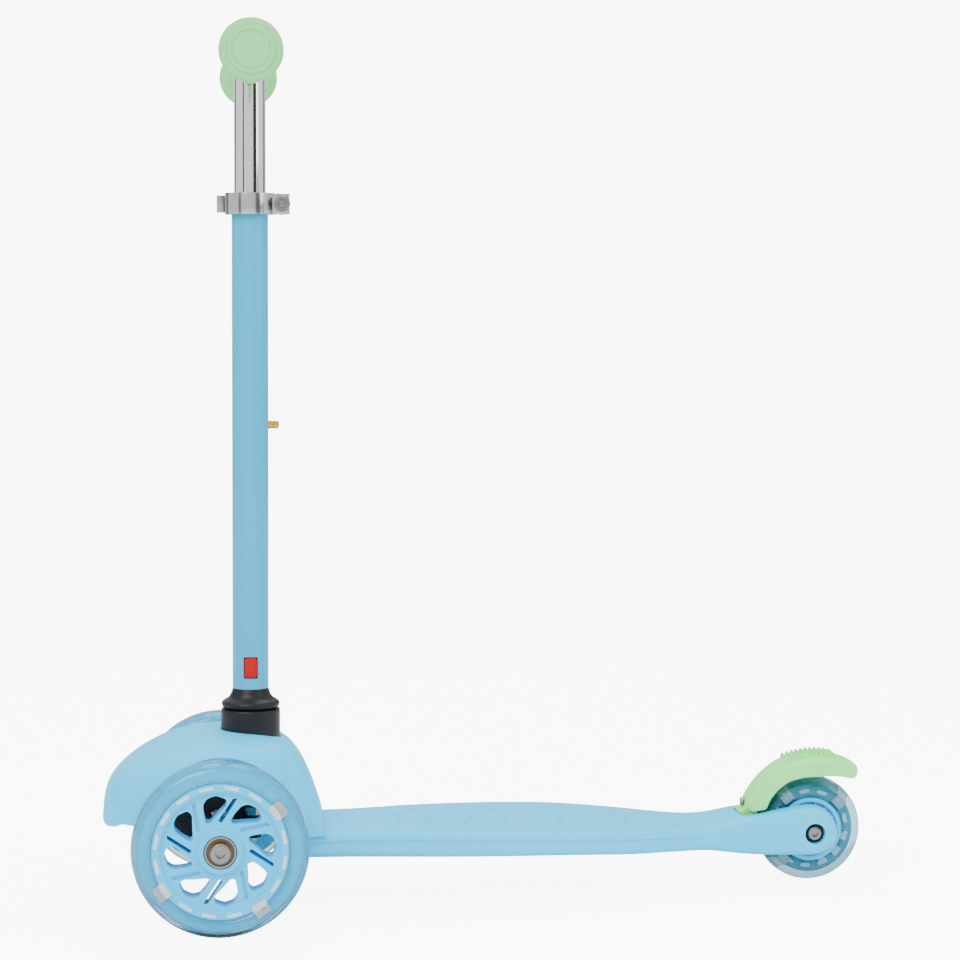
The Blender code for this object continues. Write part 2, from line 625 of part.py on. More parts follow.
def make_knuckle(side, name):
    owner = f"knuckle_{name}"
    y = side * KINGPIN_Y
    boss = rod(0.0082, 0.0518, 0.0682, Matrix.Translation((FRONT_X, y, 0)), 20)
    knuckle = solid(owner, boss, owner, "black_plastic")
    stub_end = side * (TRACK / 2 - WHEEL_W / 2 - 0.0006)
    low, high = sorted((y, stub_end))
    join(knuckle, rod(0.0076, low, high, along_y(FRONT_X, 0, FRONT_R), 20))
    reach = sorted((y - 0.004, y + 0.004))
    join(knuckle, block((FRONT_X + 0.003, FRONT_X + ARM), reach, (0.0610, 0.0675)))
    post = turned([(0, 0.0608), (0.0058, 0.0608), (0.0058, 0.0762), (0.0024, 0.0762), (0.0024, 0.0850),
                   (0, 0.0850)], Matrix.Translation((FRONT_X + ARM, y, 0)), 14, False)
    join(knuckle, post)
    cut(knuckle, rod(0.0043, 0.040, 0.090, Matrix.Translation((FRONT_X, y, 0))))
    low, high = sorted((side * (KINGPIN_Y + 0.006), side * 0.100))
    cut(knuckle, rod(0.0042, low, high, along_y(FRONT_X, 0, FRONT_R)))

    head = TRACK / 2 + WHEEL_W / 2
    profile = [(0, KINGPIN_Y + 0.0075), (AXLE_R, KINGPIN_Y + 0.0075), (AXLE_R, head + 0.0004),
               (0.0068, head + 0.0004), (0.0070, head + 0.0034), (0.0062, head + 0.0042), (0.0032, head + 0.0042),
               (0.0032, head + 0.0012), (0, head + 0.0012)]
    bolt = turned(profile, outward(side, FRONT_X, FRONT_R), 16, False)
    solid(f"front_axle_bolt_{name}", bolt, owner, "steel")


def outward(side, x, z):
    """Local +Z points away from the scooter's middle on the given side."""
    turn = Matrix.Rotation(pi, 4, "X") if side < 0 else UPRIGHT
    return along_y(x, 0, z) @ turn


# ---------------------------------------------------------------- wheels
def tyre_profile(radius, inner):
    half = WHEEL_W / 2
    crown = [(inner, -half + 0.0015), (radius - 0.0068, -half), (radius - 0.0030, -half + 0.0030),
             (radius - 0.0006, -half + 0.0078)]
    return crown + [(radius, 0.0)] + [(r, -h) for r, h in reversed(crown)]


def make_tyre(name, owner, place, radius, inner, light_angles, light_r, segments):
    """A clear tread with a notch in its bore for each light block, and the blocks in them."""
    tyre = solid(f"{name}_tyre", turned(tyre_profile(radius, inner), place, segments), owner, "clear_tyre")
    notches = bmesh.new()
    low, high = light_r
    half = 0.0048 if radius > 0.05 else 0.0038
    for angle in light_angles:
        turn = place @ Matrix.Rotation(radians(angle), 4, "Z")
        block((inner - 0.003, high + GAP), (-half - GAP, half + GAP), (-0.0073, 0.0073), turn, notches)
    cut(tyre, notches)
    for index, angle in enumerate(light_angles):
        turn = place @ Matrix.Rotation(radians(angle), 4, "Z")
        light = block((low, high), (-half, half), (-0.0070, 0.0070), turn)
        solid(f"{name}_light_{index + 1}", light, owner, "light_block")


def polar(pairs, turn):
    return [(r * cos(radians(a + turn)), r * sin(radians(a + turn))) for r, a in pairs]


# One window of the front wheel's spokes and one slit between windows: radius and angle.
WINDOW = [(0.0352, -17), (0.0310, -18), (0.0255, -8), (0.0200, 10), (0.0212, 17), (0.0272, 14), (0.0335, 10),
          (0.0366, 4), (0.0378, -6)]
SLIT = [(0.0372, -2.2), (0.0366, 2.2), (0.0205, 20.5), (0.0188, 13.5)]


def make_front_core(name, owner, place):
    rim, web = 0.0105, 0.0072
    profile = [(BEARING_R + GAP, -0.0118), (0.0150, -0.0118), (0.0165, -web), (0.0398, -web), (0.0410, -rim),
               (0.0458, -rim), (0.0458, rim), (0.0410, rim), (0.0398, web), (0.0165, web), (0.0150, 0.0118),
               (BEARING_R + GAP, 0.0118)]
    core = solid(f"{name}_core", turned(profile, place, 28), owner, "blue_plastic")
    windows = bmesh.new()
    for k in range(8):
        prism(polar(WINDOW, 9 + 45 * k), -0.02, 0.02, place, windows)
    for k in range(4):
        prism(polar(SLIT, 73 + 90 * k), -0.02, 0.02, place, windows)
    cut(core, windows)


def make_bearings(name, owner, place):
    """Two bearings with a spacer between their inner races."""
    inner, outer = 0.0047, 0.0047 + BEARING_W
    for tag, sign in (("outer", 1), ("inner", -1)):
        heights = (sign * inner, sign * outer)
        profile = [(BEARING_BORE, heights[0]), (BEARING_R, heights[0]), (BEARING_R, heights[1]),
                   (BEARING_BORE, heights[1])]
        solid(f"{name}_bearing_{tag}", turned(profile, place, 20), owner, "steel")
    tube = [(BEARING_BORE, -0.0044), (0.0060, -0.0044), (0.0060, 0.0044), (BEARING_BORE, 0.0044)]
    solid(f"{name}_spacer", turned(tube, place, 16), owner, "steel")


def make_front_wheel(side, name):
    owner = f"front_wheel_{name}"
    place = outward(side, FRONT_X, FRONT_R) @ Matrix.Translation((0, 0, TRACK / 2))
    make_tyre(owner, owner, place, FRONT_R, 0.0462, (34, 213, 304), (0.0466, 0.0520), 36)
    make_front_core(owner, owner, place)
    make_bearings(owner, owner, place)


def make_rear_wheel():
    owner = "rear_wheel"
    place = outward(-1, REAR_X, REAR_R)
    make_tyre(owner, owner, place, REAR_R, 0.0232, (41, 125, 226), (0.0262, 0.0318), 32)
    profile = [(BEARING_R + GAP, -0.0118), (0.0140, -0.0118), (0.0150, -0.0060), (0.0195, -0.0060),
               (0.0205, -0.0110), (0.0228, -0.0110)]
    profile += [(r, -h) for r, h in reversed(profile)]
    core = solid("rear_wheel_core", turned(profile, place, 24), owner, "blue_plastic")
    ribs = bmesh.new()
    for k in range(8):
        turn = place @ Matrix.Rotation(TURN * (k + 0.5) / 8, 4, "Z")
        block((0.0142, 0.0203), (-0.0007, 0.0007), (-0.0098, 0.0098), turn, ribs)
    join(core, ribs)
    make_bearings(owner, owner, place)


def make_rear_axle():
    axle = outward(-1, REAR_X, REAR_R)
    head = 0.0226
    profile = [(0, -0.0265), (AXLE_R, -0.0265), (AXLE_R, head), (0.0048, head), (0.0050, head + 0.0030),
               (0.0044, head + 0.0038), (0.0026, head + 0.0038), (0.0026, head + 0.0012), (0, head + 0.0012)]
    solid("rear_axle_bolt", turned(profile, axle, 16, False), "root", "steel")
    bore = AXLE_R + GAP
    nut = [(bore, -0.0262), (0.0060, -0.0262), (0.0065, -0.0258), (0.0065, -0.0226), (bore, -0.0226)]
    solid("rear_axle_nut", turned(nut, axle, 18), "root", "steel")


# ---------------------------------------------------------------- stomp brake
# Side outline of the arch, behind the front axle, from its foot up over the wheel and back along the skirt.
FENDER_OUTLINE = [
    (0.3764, 0.0545), (0.3775, 0.0600), (0.3822, 0.0680), (0.3893, 0.0765), (0.3990, 0.0846), (0.4100, 0.0897),
    (0.4220, 0.0920), (0.4350, 0.0918), (0.4440, 0.0904), (0.4510, 0.0880), (0.4570, 0.0846), (0.4597, 0.0820),
    (0.4590, 0.0797), (0.4550, 0.0780), (0.4490, 0.0770), (0.4330, 0.0774), (0.4180, 0.0772), (0.4065, 0.0745),
    (0.3978, 0.0680), (0.3922, 0.0605), (0.3900, 0.0545),
]
FENDER_HALF = 0.0175


def make_fender():
    side = Matrix.Translation((FRONT_X, 0, 0)) @ Matrix.Rotation(pi / 2, 4, "X")
    arch = prism(FENDER_OUTLINE, -FENDER_HALF, FENDER_HALF, side)
    fender = solid("fender", arch, "fender", "mint_plastic")
    foot = [(0.3728, 0.0418), (0.3868, 0.0418), (0.3880, 0.0430), (0.3880, 0.0600), (0.3790, 0.0600),
            (0.3764, 0.0545), (0.3728, 0.0520)]
    join(fender, prism(foot, -0.0092, 0.0092, side))
    ribs = bmesh.new()
    for i in range(10):
        x = 0.4090 + 0.0034 * i
        top = 0.0938 - 8.0 * (x - 0.4290) ** 2
        block((FRONT_X + x - 0.0008, FRONT_X + x + 0.0008), (-0.0130, 0.0130), (0.082, top), mesh=ribs)
    join(fender, ribs)
    # Room for the wheel: the roof stays 2.8 mm off the tread, between skirts.
    hollow = rod(REAR_R + 0.0028, -0.0144, 0.0144, along_y(REAR_X, 0, REAR_R), 44)
    cut(fender, hollow)
    cut(fender, rod(0.0029, -0.02, 0.02, along_y(FENDER_PIVOT[0], 0, FENDER_PIVOT[1]), 16))
    cut(fender, rod(0.0019, -0.005, 0.0065, fender_screw_line(), 18))


def make_fender_pin():
    place = along_y(FENDER_PIVOT[0], 0, FENDER_PIVOT[1])
    solid("fender_pin", rod(0.0024, -0.0220, 0.0220, place, 16), "root", "steel")
    spring = coil(place, 0.0040, 0.0005, 0.0100, 0.0138, 2.5)
    solid("fender_spring", spring, "root", "steel")
    profile = [(0, -0.0022), (0.0022, -0.0022), (0.0032, -0.0013), (0.0032, -0.0003), (0.0015, -0.0003),
               (0.0015, 0.0060), (0, 0.0060)]
    screw = turned(profile, fender_screw_line(), 18, False)
    solid("fender_screw", screw, "fender", "steel")


def fender_screw_line():
    return along_x(FRONT_X + 0.3764, 0, 0.0580)


# ---------------------------------------------------------------- assembly
def make_bodies():
    body("root", (0, 0, 0))
    body("column", (PIVOT_X, 0, LEAN_Z))
    body("tie_rod", (PIVOT_X, 0, LEVER_Z))
    body("handlebar", (stem_x(BAR_Z), 0, BAR_Z))
    body("clamp_lever", STEM @ Vector((LUG_X, LEVER_Y, sum(CLAMP_Z) / 2)))
    body("detent_pin", STEM @ Vector((TUBE_R, 0, DETENT_Z)))
    body("release_button", STEM @ Vector((0, -TUBE_R, BUTTON_Z)))
    body("fender", (FENDER_PIVOT[0], 0, FENDER_PIVOT[1]))
    body("rear_wheel", (REAR_X, 0, REAR_R))
    for side, name in ((-1, "left"), (1, "right")):
        body(f"knuckle_{name}", (FRONT_X, side * KINGPIN_Y, FRONT_R))
        body(f"front_wheel_{name}", (FRONT_X, side * TRACK / 2, FRONT_R))


def main():
    clear_scene()
    make_bodies()
    make_deck()
    make_front_shell()
    make_truck()
    make_kingpins()
    make_lean_pin()
    make_lean_buffers()
    make_collar_ring()
    make_column()
    make_boot()
    make_stem_tube()
    make_release_button()
    make_detent()
    make_handlebar()
    make_clamp()
    make_tie_rod()
    for side, name in ((-1, "left"), (1, "right")):
        make_knuckle(side, name)
        make_front_wheel(side, name)
    make_rear_wheel()
    make_rear_axle()
    make_fender()
    make_fender_pin()


main()
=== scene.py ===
"""Looks for a toddler's kick scooter: moulded plastic, clear wheels, painted and chromed tubes, a studio."""

import json
from math import atan2, cos, pi, radians, sin, sqrt, tan

import bmesh
import bpy
from bpy.props import FloatProperty, FloatVectorProperty, IntProperty, PointerProperty
from mathutils import Matrix, Vector

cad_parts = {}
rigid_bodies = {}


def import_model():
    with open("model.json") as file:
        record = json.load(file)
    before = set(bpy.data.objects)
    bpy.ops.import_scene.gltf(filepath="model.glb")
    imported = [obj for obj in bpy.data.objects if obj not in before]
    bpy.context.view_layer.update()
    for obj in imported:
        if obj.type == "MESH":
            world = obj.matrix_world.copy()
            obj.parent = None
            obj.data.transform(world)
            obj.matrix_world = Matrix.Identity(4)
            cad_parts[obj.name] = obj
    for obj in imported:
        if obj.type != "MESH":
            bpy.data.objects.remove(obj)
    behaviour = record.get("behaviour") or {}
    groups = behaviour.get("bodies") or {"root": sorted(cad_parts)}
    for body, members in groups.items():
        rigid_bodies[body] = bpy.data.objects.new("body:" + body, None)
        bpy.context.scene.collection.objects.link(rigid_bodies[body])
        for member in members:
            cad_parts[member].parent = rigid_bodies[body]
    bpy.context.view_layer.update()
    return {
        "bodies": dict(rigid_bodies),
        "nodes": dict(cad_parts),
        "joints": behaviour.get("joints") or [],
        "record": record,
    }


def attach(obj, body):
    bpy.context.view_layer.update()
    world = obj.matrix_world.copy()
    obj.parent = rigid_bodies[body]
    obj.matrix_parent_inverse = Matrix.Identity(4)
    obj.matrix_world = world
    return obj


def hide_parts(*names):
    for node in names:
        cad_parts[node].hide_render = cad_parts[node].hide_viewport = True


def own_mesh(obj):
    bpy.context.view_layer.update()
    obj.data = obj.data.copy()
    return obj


bl_info = {
    "name": "Kick Scooter Looks",
    "version": (1, 0, 0),
    "blender": (4, 5, 0),
    "location": "View3D > Sidebar > Scooter",
    "description": "Builds the finished surfaces of a three-wheel kick scooter round its CAD frame",
    "category": "Object",
}

# Metres. The nose points to -X, the rider's left is -Y, and the ground is at Z = 0.
TURN = 2 * pi
GAP = 0.0003
FRONT_X = -0.1897
REAR_X = 0.2337
FRONT_R = 0.060
REAR_R = 0.038
TRACK = 0.206
HALF_WHEEL = 0.012
RAKE = radians(1.15)
STEM_FOOT = 0.1526
STEM_X = FRONT_X + 0.0231
TUBE_R = 0.0128
TUBE_TOP = 0.5018
BAR_R = 0.0111
BAR_Z = 0.5909
BAR_HALF = 0.121
LEAN_Z = 0.100
SEAT_R = 0.0435
CLAMP = (0.4866, 0.5016)
CLAMP_R = 0.0176
LUG = (0.0225, 0.0142)
DETENT_Z = 0.339
BUTTON_Z = 0.168
FENDER_PIVOT = (FRONT_X + 0.3778, 0.0465)
FORK_GAP = 0.0146               # half the width of the rear wheel's slot
TUBE_BORE = 0.0117
BAR_BORE = 0.0099
CLAMP_BORE = TUBE_R + 0.00035
BOLT_SHANK = 0.0038
FENDER_HALF = 0.0175
LEAST_FACES = 6                 # fewer than this means that a cut or join removed the piece
UPRIGHT = Matrix.Identity(4)


def along_y(x, y, z):
    return Matrix.Translation((x, y, z)) @ Matrix.Rotation(-pi / 2, 4, "X")


def along_x(x, y, z):
    return Matrix.Translation((x, y, z)) @ Matrix.Rotation(pi / 2, 4, "Y")


def outward(side, x, z):
    turn = Matrix.Rotation(pi, 4, "X") if side < 0 else UPRIGHT
    return along_y(x, 0, z) @ turn


def stem_x(z):
    return STEM_X + (z - STEM_FOOT) * tan(RAKE)


STEM = Matrix.Translation((stem_x(0), 0, 0)) @ Matrix.Rotation(RAKE, 4, "Y")


# ---------------------------------------------------------------- meshes
def turned(profile, matrix=UPRIGHT, segments=96, hollow=True, mesh=None):
    """Turns an (r, h) profile round local Z: a closed outline if hollow, or from axis to axis if not."""
    mesh = mesh or bmesh.new()
    rows = []
    for radius, height in profile:
        if radius < 1e-6:
            rows.append([mesh.verts.new(matrix @ Vector((0, 0, height)))] * segments)
            continue
        turns = [TURN * i / segments for i in range(segments)]
        points = [Vector((radius * cos(a), radius * sin(a), height)) for a in turns]
        rows.append([mesh.verts.new(matrix @ point) for point in points])
    pairs = list(zip(rows, rows[1:]))
    if hollow:
        pairs.append((rows[-1], rows[0]))
    for low, high in pairs:
        for i in range(segments):
            j = (i + 1) % segments
            corners = list(dict.fromkeys((low[i], low[j], high[j], high[i])))
            if len(corners) > 2:
                mesh.faces.new(corners)
    return mesh


def rod(radius, low, high, matrix=UPRIGHT, segments=48, mesh=None):
    return turned([(0, low), (radius, low), (radius, high), (0, high)], matrix, segments, False, mesh)


def lofted(rings, mesh=None):
    """A closed solid through rings of equal length, capped at both ends."""
    mesh = mesh or bmesh.new()
    rows = [[mesh.verts.new(p) for p in ring] for ring in rings]
    count = len(rows[0])
    for low, high in zip(rows, rows[1:]):
        for i in range(count):
            j = (i + 1) % count
            mesh.faces.new((low[i], low[j], high[j], high[i]))
    mesh.faces.new(rows[0][::-1])
    mesh.faces.new(rows[-1])
    return mesh


def prism(outline, low, high, matrix=UPRIGHT, mesh=None):
    return lofted([[matrix @ Vector((x, y, h)) for x, y in outline] for h in (low, high)], mesh)


def block(x, y, z, matrix=UPRIGHT, mesh=None):
    return prism([(x[0], y[0]), (x[1], y[0]), (x[1], y[1]), (x[0], y[1])], z[0], z[1], matrix, mesh)


def between(table, x):
    """Reads a smooth value off (x, value) pairs, easing through each pair with its neighbours' slope."""
    if x <= table[0][0]:
        return table[0][1]
    for i in range(len(table) - 1):
        (x0, v0), (x1, v1) = table[i], table[i + 1]
        if x <= x1:
            before = table[max(i - 1, 0)]
            after = table[min(i + 2, len(table) - 1)]
            m0 = (v1 - before[1]) / (x1 - before[0])
            m1 = (after[1] - v0) / (after[0] - x0)
            step = x1 - x0
            t = (x - x0) / step
            bend = step * (t * (1 - t) ** 2 * m0 - t * t * (1 - t) * m1)
            return v0 + (v1 - v0) * (3 * t * t - 2 * t ** 3) + bend
    return table[-1][1]


def rounded(outline, radius, steps=5):
    """An outline with each corner eased by a curve that starts this far from it."""
    points = []
    count = len(outline)
    for i in range(count):
        before, corner, after = (Vector(outline[(i + k) % count]) for k in (-1, 0, 1))
        reach = min(radius, (before - corner).length * 0.45, (after - corner).length * 0.45)
        start = corner + (before - corner).normalized() * reach
        end = corner + (after - corner).normalized() * reach
        for k in range(steps + 1):
            t = k / steps
            point = start * (1 - t) ** 2 + corner * 2 * t * (1 - t) + end * t * t
            points.append((point.x, point.y))
    return points


def polar(pairs):
    return [(r * cos(radians(a)), r * sin(radians(a))) for r, a in pairs]


def hexagon(radius):
    return polar([(radius, 60 * i) for i in range(6)])


# ---------------------------------------------------------------- repeats in Geometry Nodes
def repeat_group():
    """Repeats its unit along a step and round local axes, as real geometry in one material."""
    group = bpy.data.node_groups.get("Repeat Unit")
    if group:
        return group
    group = bpy.data.node_groups.new("Repeat Unit", "GeometryNodeTree")
    face = group.interface
    face.new_socket("Geometry", in_out="OUTPUT", socket_type="NodeSocketGeometry")
    for name, kind in (("Unit", "Geometry"), ("Count", "Int"), ("Step", "Vector"), ("Turn", "Vector"),
                       ("Material", "Material")):
        face.new_socket(name, in_out="INPUT", socket_type=f"NodeSocket{kind}")
    nodes, links = group.nodes, group.links
    source = nodes.new("NodeGroupInput")
    line = nodes.new("GeometryNodeMeshLine")
    index = nodes.new("GeometryNodeInputIndex")
    scale = nodes.new("ShaderNodeVectorMath")
    scale.operation = "SCALE"
    copies = nodes.new("GeometryNodeInstanceOnPoints")
    real = nodes.new("GeometryNodeRealizeInstances")
    paint = nodes.new("GeometryNodeSetMaterial")
    sink = nodes.new("NodeGroupOutput")
    links.new(source.outputs["Count"], line.inputs["Count"])
    links.new(source.outputs["Step"], line.inputs["Offset"])
    links.new(line.outputs["Mesh"], copies.inputs["Points"])
    links.new(source.outputs["Unit"], copies.inputs["Instance"])
    links.new(source.outputs["Turn"], scale.inputs[0])
    links.new(index.outputs["Index"], scale.inputs["Scale"])
    links.new(scale.outputs["Vector"], copies.inputs["Rotation"])
    links.new(copies.outputs["Instances"], real.inputs["Geometry"])
    links.new(real.outputs["Geometry"], paint.inputs["Geometry"])
    links.new(source.outputs["Material"], paint.inputs["Material"])
    links.new(paint.outputs["Geometry"], sink.inputs["Geometry"])
    return group


def evaluated(obj):
    """A plain mesh of the object with its modifiers, which are then removed."""
    graph = bpy.context.evaluated_depsgraph_get()
    graph.update()
    data = bpy.data.meshes.new_from_object(obj.evaluated_get(graph))
    obj.modifiers.clear()
    return data


def repeated(unit, count, step, turn, matrix, material):
    """A bmesh of the unit repeated in local coordinates and then put in place."""
    data = bpy.data.meshes.new("unit")
    unit.to_mesh(data)
    unit.free()
    obj = bpy.data.objects.new("unit", data)
    bpy.context.scene.collection.objects.link(obj)
    group = repeat_group()
    modifier = obj.modifiers.new("Repeat", "NODES")
    modifier.node_group = group
    values = {"Count": count, "Step": step, "Turn": turn, "Material": material}
    for item in group.interface.items_tree:
        if item.in_out == "INPUT" and item.name in values:
            modifier[item.identifier] = values[item.name]
    made = evaluated(obj)
    bpy.data.objects.remove(obj)
    if len(made.vertices) < count * 4:
        raise RuntimeError("the repeated unit came out empty")
    mesh = bmesh.new()
    mesh.from_mesh(made)
    bmesh.ops.transform(mesh, matrix=matrix, verts=mesh.verts)
    return mesh


def hidden(mesh):
    bmesh.ops.recalc_face_normals(mesh, faces=mesh.faces)
    data = bpy.data.meshes.new("cutter")
    mesh.to_mesh(data)
    mesh.free()
    obj = bpy.data.objects.new("cutter", data)
    bpy.context.scene.collection.objects.link(obj)
    return obj


def piece(name, mesh, body, finish, nodes=(), cuts=(), joins=(), edge=0.0, angle=32):
    """A finished piece on its body: cut and joined, its edges eased, standing in for its CAD nodes."""
    bmesh.ops.remove_doubles(mesh, verts=mesh.verts, dist=1e-7)
    bmesh.ops.recalc_face_normals(mesh, faces=mesh.faces)
    data = bpy.data.meshes.new(name)
    mesh.to_mesh(data)
    mesh.free()
    obj = bpy.data.objects.new(name, data)
    bpy.context.scene.collection.objects.link(obj)
    helpers = []
    for operation, meshes in (("UNION", joins), ("DIFFERENCE", cuts)):
        for other in meshes:
            helper = hidden(other)
            boolean = obj.modifiers.new(operation, "BOOLEAN")
            boolean.operation = operation
            boolean.solver = "EXACT"
            boolean.object = helper
            helpers.append(helper)
    if edge:
        bevel = obj.modifiers.new("Edge", "BEVEL")
        bevel.width = edge
        bevel.segments = 3
        bevel.limit_method = "ANGLE"
        bevel.angle_limit = radians(angle)
    obj.data = evaluated(obj)
    for helper in helpers:
        bpy.data.objects.remove(helper)
    if len(obj.data.polygons) < LEAST_FACES:
        raise RuntimeError(f"{name} came out empty")
    obj.data.shade_smooth()
    obj.data.set_sharp_from_angle(angle=radians(angle))
    obj.data.materials.clear()
    obj.data.materials.append(finish)
    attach(obj, body)
    if nodes:
        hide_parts(*nodes)
    return obj


# ---------------------------------------------------------------- materials
def link_chain(tree, pairs):
    for start, end in pairs:
        tree.links.new(start, end)


def colour_sockets(mix):
    """The two colour inputs of a Mix node, and its colour output."""
    ends = [socket for socket in mix.inputs if socket.type == "RGBA"]
    return ends, [socket for socket in mix.outputs if socket.type == "RGBA"][0]


def surface_group():
    """Moulding mottle, handling scuffs and fine grain, read from object coordinates."""
    group = bpy.data.node_groups.get("Moulded Surface")
    if group:
        return group
    group = bpy.data.node_groups.new("Moulded Surface", "ShaderNodeTree")
    face = group.interface
    face.new_socket("Vector", in_out="INPUT", socket_type="NodeSocketVector")
    for name, value in (("Roughness", 0.4), ("Mottle", 0.03), ("Scuff", 0.1), ("Grain Scale", 900.0),
                        ("Streak", 1.0)):
        socket = face.new_socket(name, in_out="INPUT", socket_type="NodeSocketFloat")
        socket.default_value = value
    face.new_socket("Colour", in_out="INPUT", socket_type="NodeSocketColor")
    face.new_socket("Colour", in_out="OUTPUT", socket_type="NodeSocketColor")
    face.new_socket("Roughness", in_out="OUTPUT", socket_type="NodeSocketFloat")
    face.new_socket("Height", in_out="OUTPUT", socket_type="NodeSocketFloat")
    nodes, links = group.nodes, group.links
    source, sink = nodes.new("NodeGroupInput"), nodes.new("NodeGroupOutput")
    stretch = nodes.new("ShaderNodeVectorMath")
    stretch.operation = "MULTIPLY"
    squash = nodes.new("ShaderNodeCombineXYZ")
    squash.inputs["X"].default_value = 1.0
    squash.inputs["Y"].default_value = 1.0
    links.new(source.outputs["Streak"], squash.inputs["Z"])
    links.new(source.outputs["Vector"], stretch.inputs[0])
    links.new(squash.outputs["Vector"], stretch.inputs[1])
    mottle, scuff, grain = (nodes.new("ShaderNodeTexNoise") for _ in range(3))
    mottle.inputs["Scale"].default_value = 14.0
    scuff.inputs["Scale"].default_value = 75.0
    scuff.inputs["Detail"].default_value = 6.0
    grain.inputs["Detail"].default_value = 2.0
    links.new(source.outputs["Grain Scale"], grain.inputs["Scale"])
    for noise in (mottle, scuff, grain):
        links.new(stretch.outputs["Vector"], noise.inputs["Vector"])
    shade = nodes.new("ShaderNodeMapRange")
    links.new(mottle.outputs["Fac"], shade.inputs["Value"])
    low, high = nodes.new("ShaderNodeMath"), nodes.new("ShaderNodeMath")
    low.operation, high.operation = "SUBTRACT", "ADD"
    for part in (low, high):
        part.inputs[0].default_value = 1.0
        links.new(source.outputs["Mottle"], part.inputs[1])
    links.new(low.outputs[0], shade.inputs["To Min"])
    links.new(high.outputs[0], shade.inputs["To Max"])
    tint = nodes.new("ShaderNodeVectorMath")
    tint.operation = "SCALE"
    links.new(source.outputs["Colour"], tint.inputs[0])
    links.new(shade.outputs["Result"], tint.inputs["Scale"])
    links.new(tint.outputs["Vector"], sink.inputs["Colour"])
    spread = nodes.new("ShaderNodeMapRange")
    spread.inputs["From Min"].default_value = 0.35
    spread.inputs["From Max"].default_value = 0.75
    links.new(scuff.outputs["Fac"], spread.inputs["Value"])
    links.new(source.outputs["Scuff"], spread.inputs["To Max"])
    total = nodes.new("ShaderNodeMath")
    links.new(spread.outputs["Result"], total.inputs[0])
    links.new(source.outputs["Roughness"], total.inputs[1])
    links.new(total.outputs[0], sink.inputs["Roughness"])
    links.new(grain.outputs["Fac"], sink.inputs["Height"])
    return group


def wear_group():
    """Blends towards the worn colour along raised edges."""
    group = bpy.data.node_groups.get("Edge Wear")
    if group:
        return group
    group = bpy.data.node_groups.new("Edge Wear", "ShaderNodeTree")
    face = group.interface
    face.new_socket("Colour", in_out="INPUT", socket_type="NodeSocketColor")
    face.new_socket("Worn Colour", in_out="INPUT", socket_type="NodeSocketColor")
    face.new_socket("Amount", in_out="INPUT", socket_type="NodeSocketFloat")
    face.new_socket("Colour", in_out="OUTPUT", socket_type="NodeSocketColor")
    nodes, links = group.nodes, group.links
    source, sink = nodes.new("NodeGroupInput"), nodes.new("NodeGroupOutput")
    shape = nodes.new("ShaderNodeNewGeometry")
    edge = nodes.new("ShaderNodeMapRange")
    edge.inputs["From Min"].default_value = 0.53
    edge.inputs["From Max"].default_value = 0.62
    links.new(shape.outputs["Pointiness"], edge.inputs["Value"])
    links.new(source.outputs["Amount"], edge.inputs["To Max"])
    blend = nodes.new("ShaderNodeMix")
    blend.data_type = "RGBA"
    links.new(edge.outputs["Result"], blend.inputs["Factor"])
    ends, mixed = colour_sockets(blend)
    links.new(source.outputs["Colour"], ends[0])
    links.new(source.outputs["Worn Colour"], ends[1])
    links.new(mixed, sink.inputs["Colour"])
    return group


def finish(name, colour, roughness, slot, metallic=0.0, grain=900.0, depth=0.00002, mottle=0.03, scuff=0.08,
           streak=1.0, worn=None, clear=0.0, ior=1.5, coat=0.0, gloss=0.2, soft=0.0, rim=None):
    """A procedural Principled material for one of the record's material slots; rim, when given, is painted
    shade that darkens the colour where the surface turns away from the view.
    """
    material = bpy.data.materials.new(name)
    material.use_nodes = True
    material["slot"] = slot
    tree = material.node_tree
    shader = tree.nodes["Principled BSDF"]
    where = tree.nodes.new("ShaderNodeTexCoord")
    surface = tree.nodes.new("ShaderNodeGroup")
    surface.node_tree = surface_group()
    for key, value in (("Colour", (*colour, 1.0)), ("Roughness", roughness), ("Mottle", mottle),
                       ("Scuff", scuff), ("Grain Scale", grain), ("Streak", streak)):
        surface.inputs[key].default_value = value
    wear = tree.nodes.new("ShaderNodeGroup")
    wear.node_tree = wear_group()
    lighter = [min(1.0, c * 0.9 + 0.06) for c in colour]
    wear.inputs["Worn Colour"].default_value = (*(worn or lighter), 1.0)
    wear.inputs["Amount"].default_value = 0.25
    bump = tree.nodes.new("ShaderNodeBump")
    bump.inputs["Strength"].default_value = 0.35
    bump.inputs["Distance"].default_value = depth
    link_chain(tree, [
        (where.outputs["Object"], surface.inputs["Vector"]),
        (surface.outputs["Colour"], wear.inputs["Colour"]),
        (wear.outputs["Colour"], shader.inputs["Base Color"]),
        (surface.outputs["Roughness"], shader.inputs["Roughness"]),
        (surface.outputs["Height"], bump.inputs["Height"]),
        (bump.outputs["Normal"], shader.inputs["Normal"]),
    ])
    # Painted shade: the base colour darkens towards the rim colour where the surface turns away from the
    # view, standing in for the dark edges of a clear tyre.
    if rim:
        facing = tree.nodes.new("ShaderNodeLayerWeight")
        facing.inputs["Blend"].default_value = 0.2
        painted_rim_shade = tree.nodes.new("ShaderNodeMix")
        painted_rim_shade.data_type = "RGBA"
        ends, rim_shaded_colour = colour_sockets(painted_rim_shade)
        ends[1].default_value = (*rim, 1.0)
        link_chain(tree, [
            (facing.outputs["Facing"], painted_rim_shade.inputs["Factor"]), (wear.outputs["Colour"], ends[0]),
            (rim_shaded_colour, shader.inputs["Base Color"]),
        ])
    for key, value in (("Metallic", metallic), ("Transmission Weight", clear), ("IOR", ior),
                       ("Coat Weight", coat), ("Coat Roughness", 0.12), ("Specular IOR Level", gloss),
                       ("Subsurface Weight", soft), ("Subsurface Scale", 0.002)):
        shader.inputs[key].default_value = value
    return material


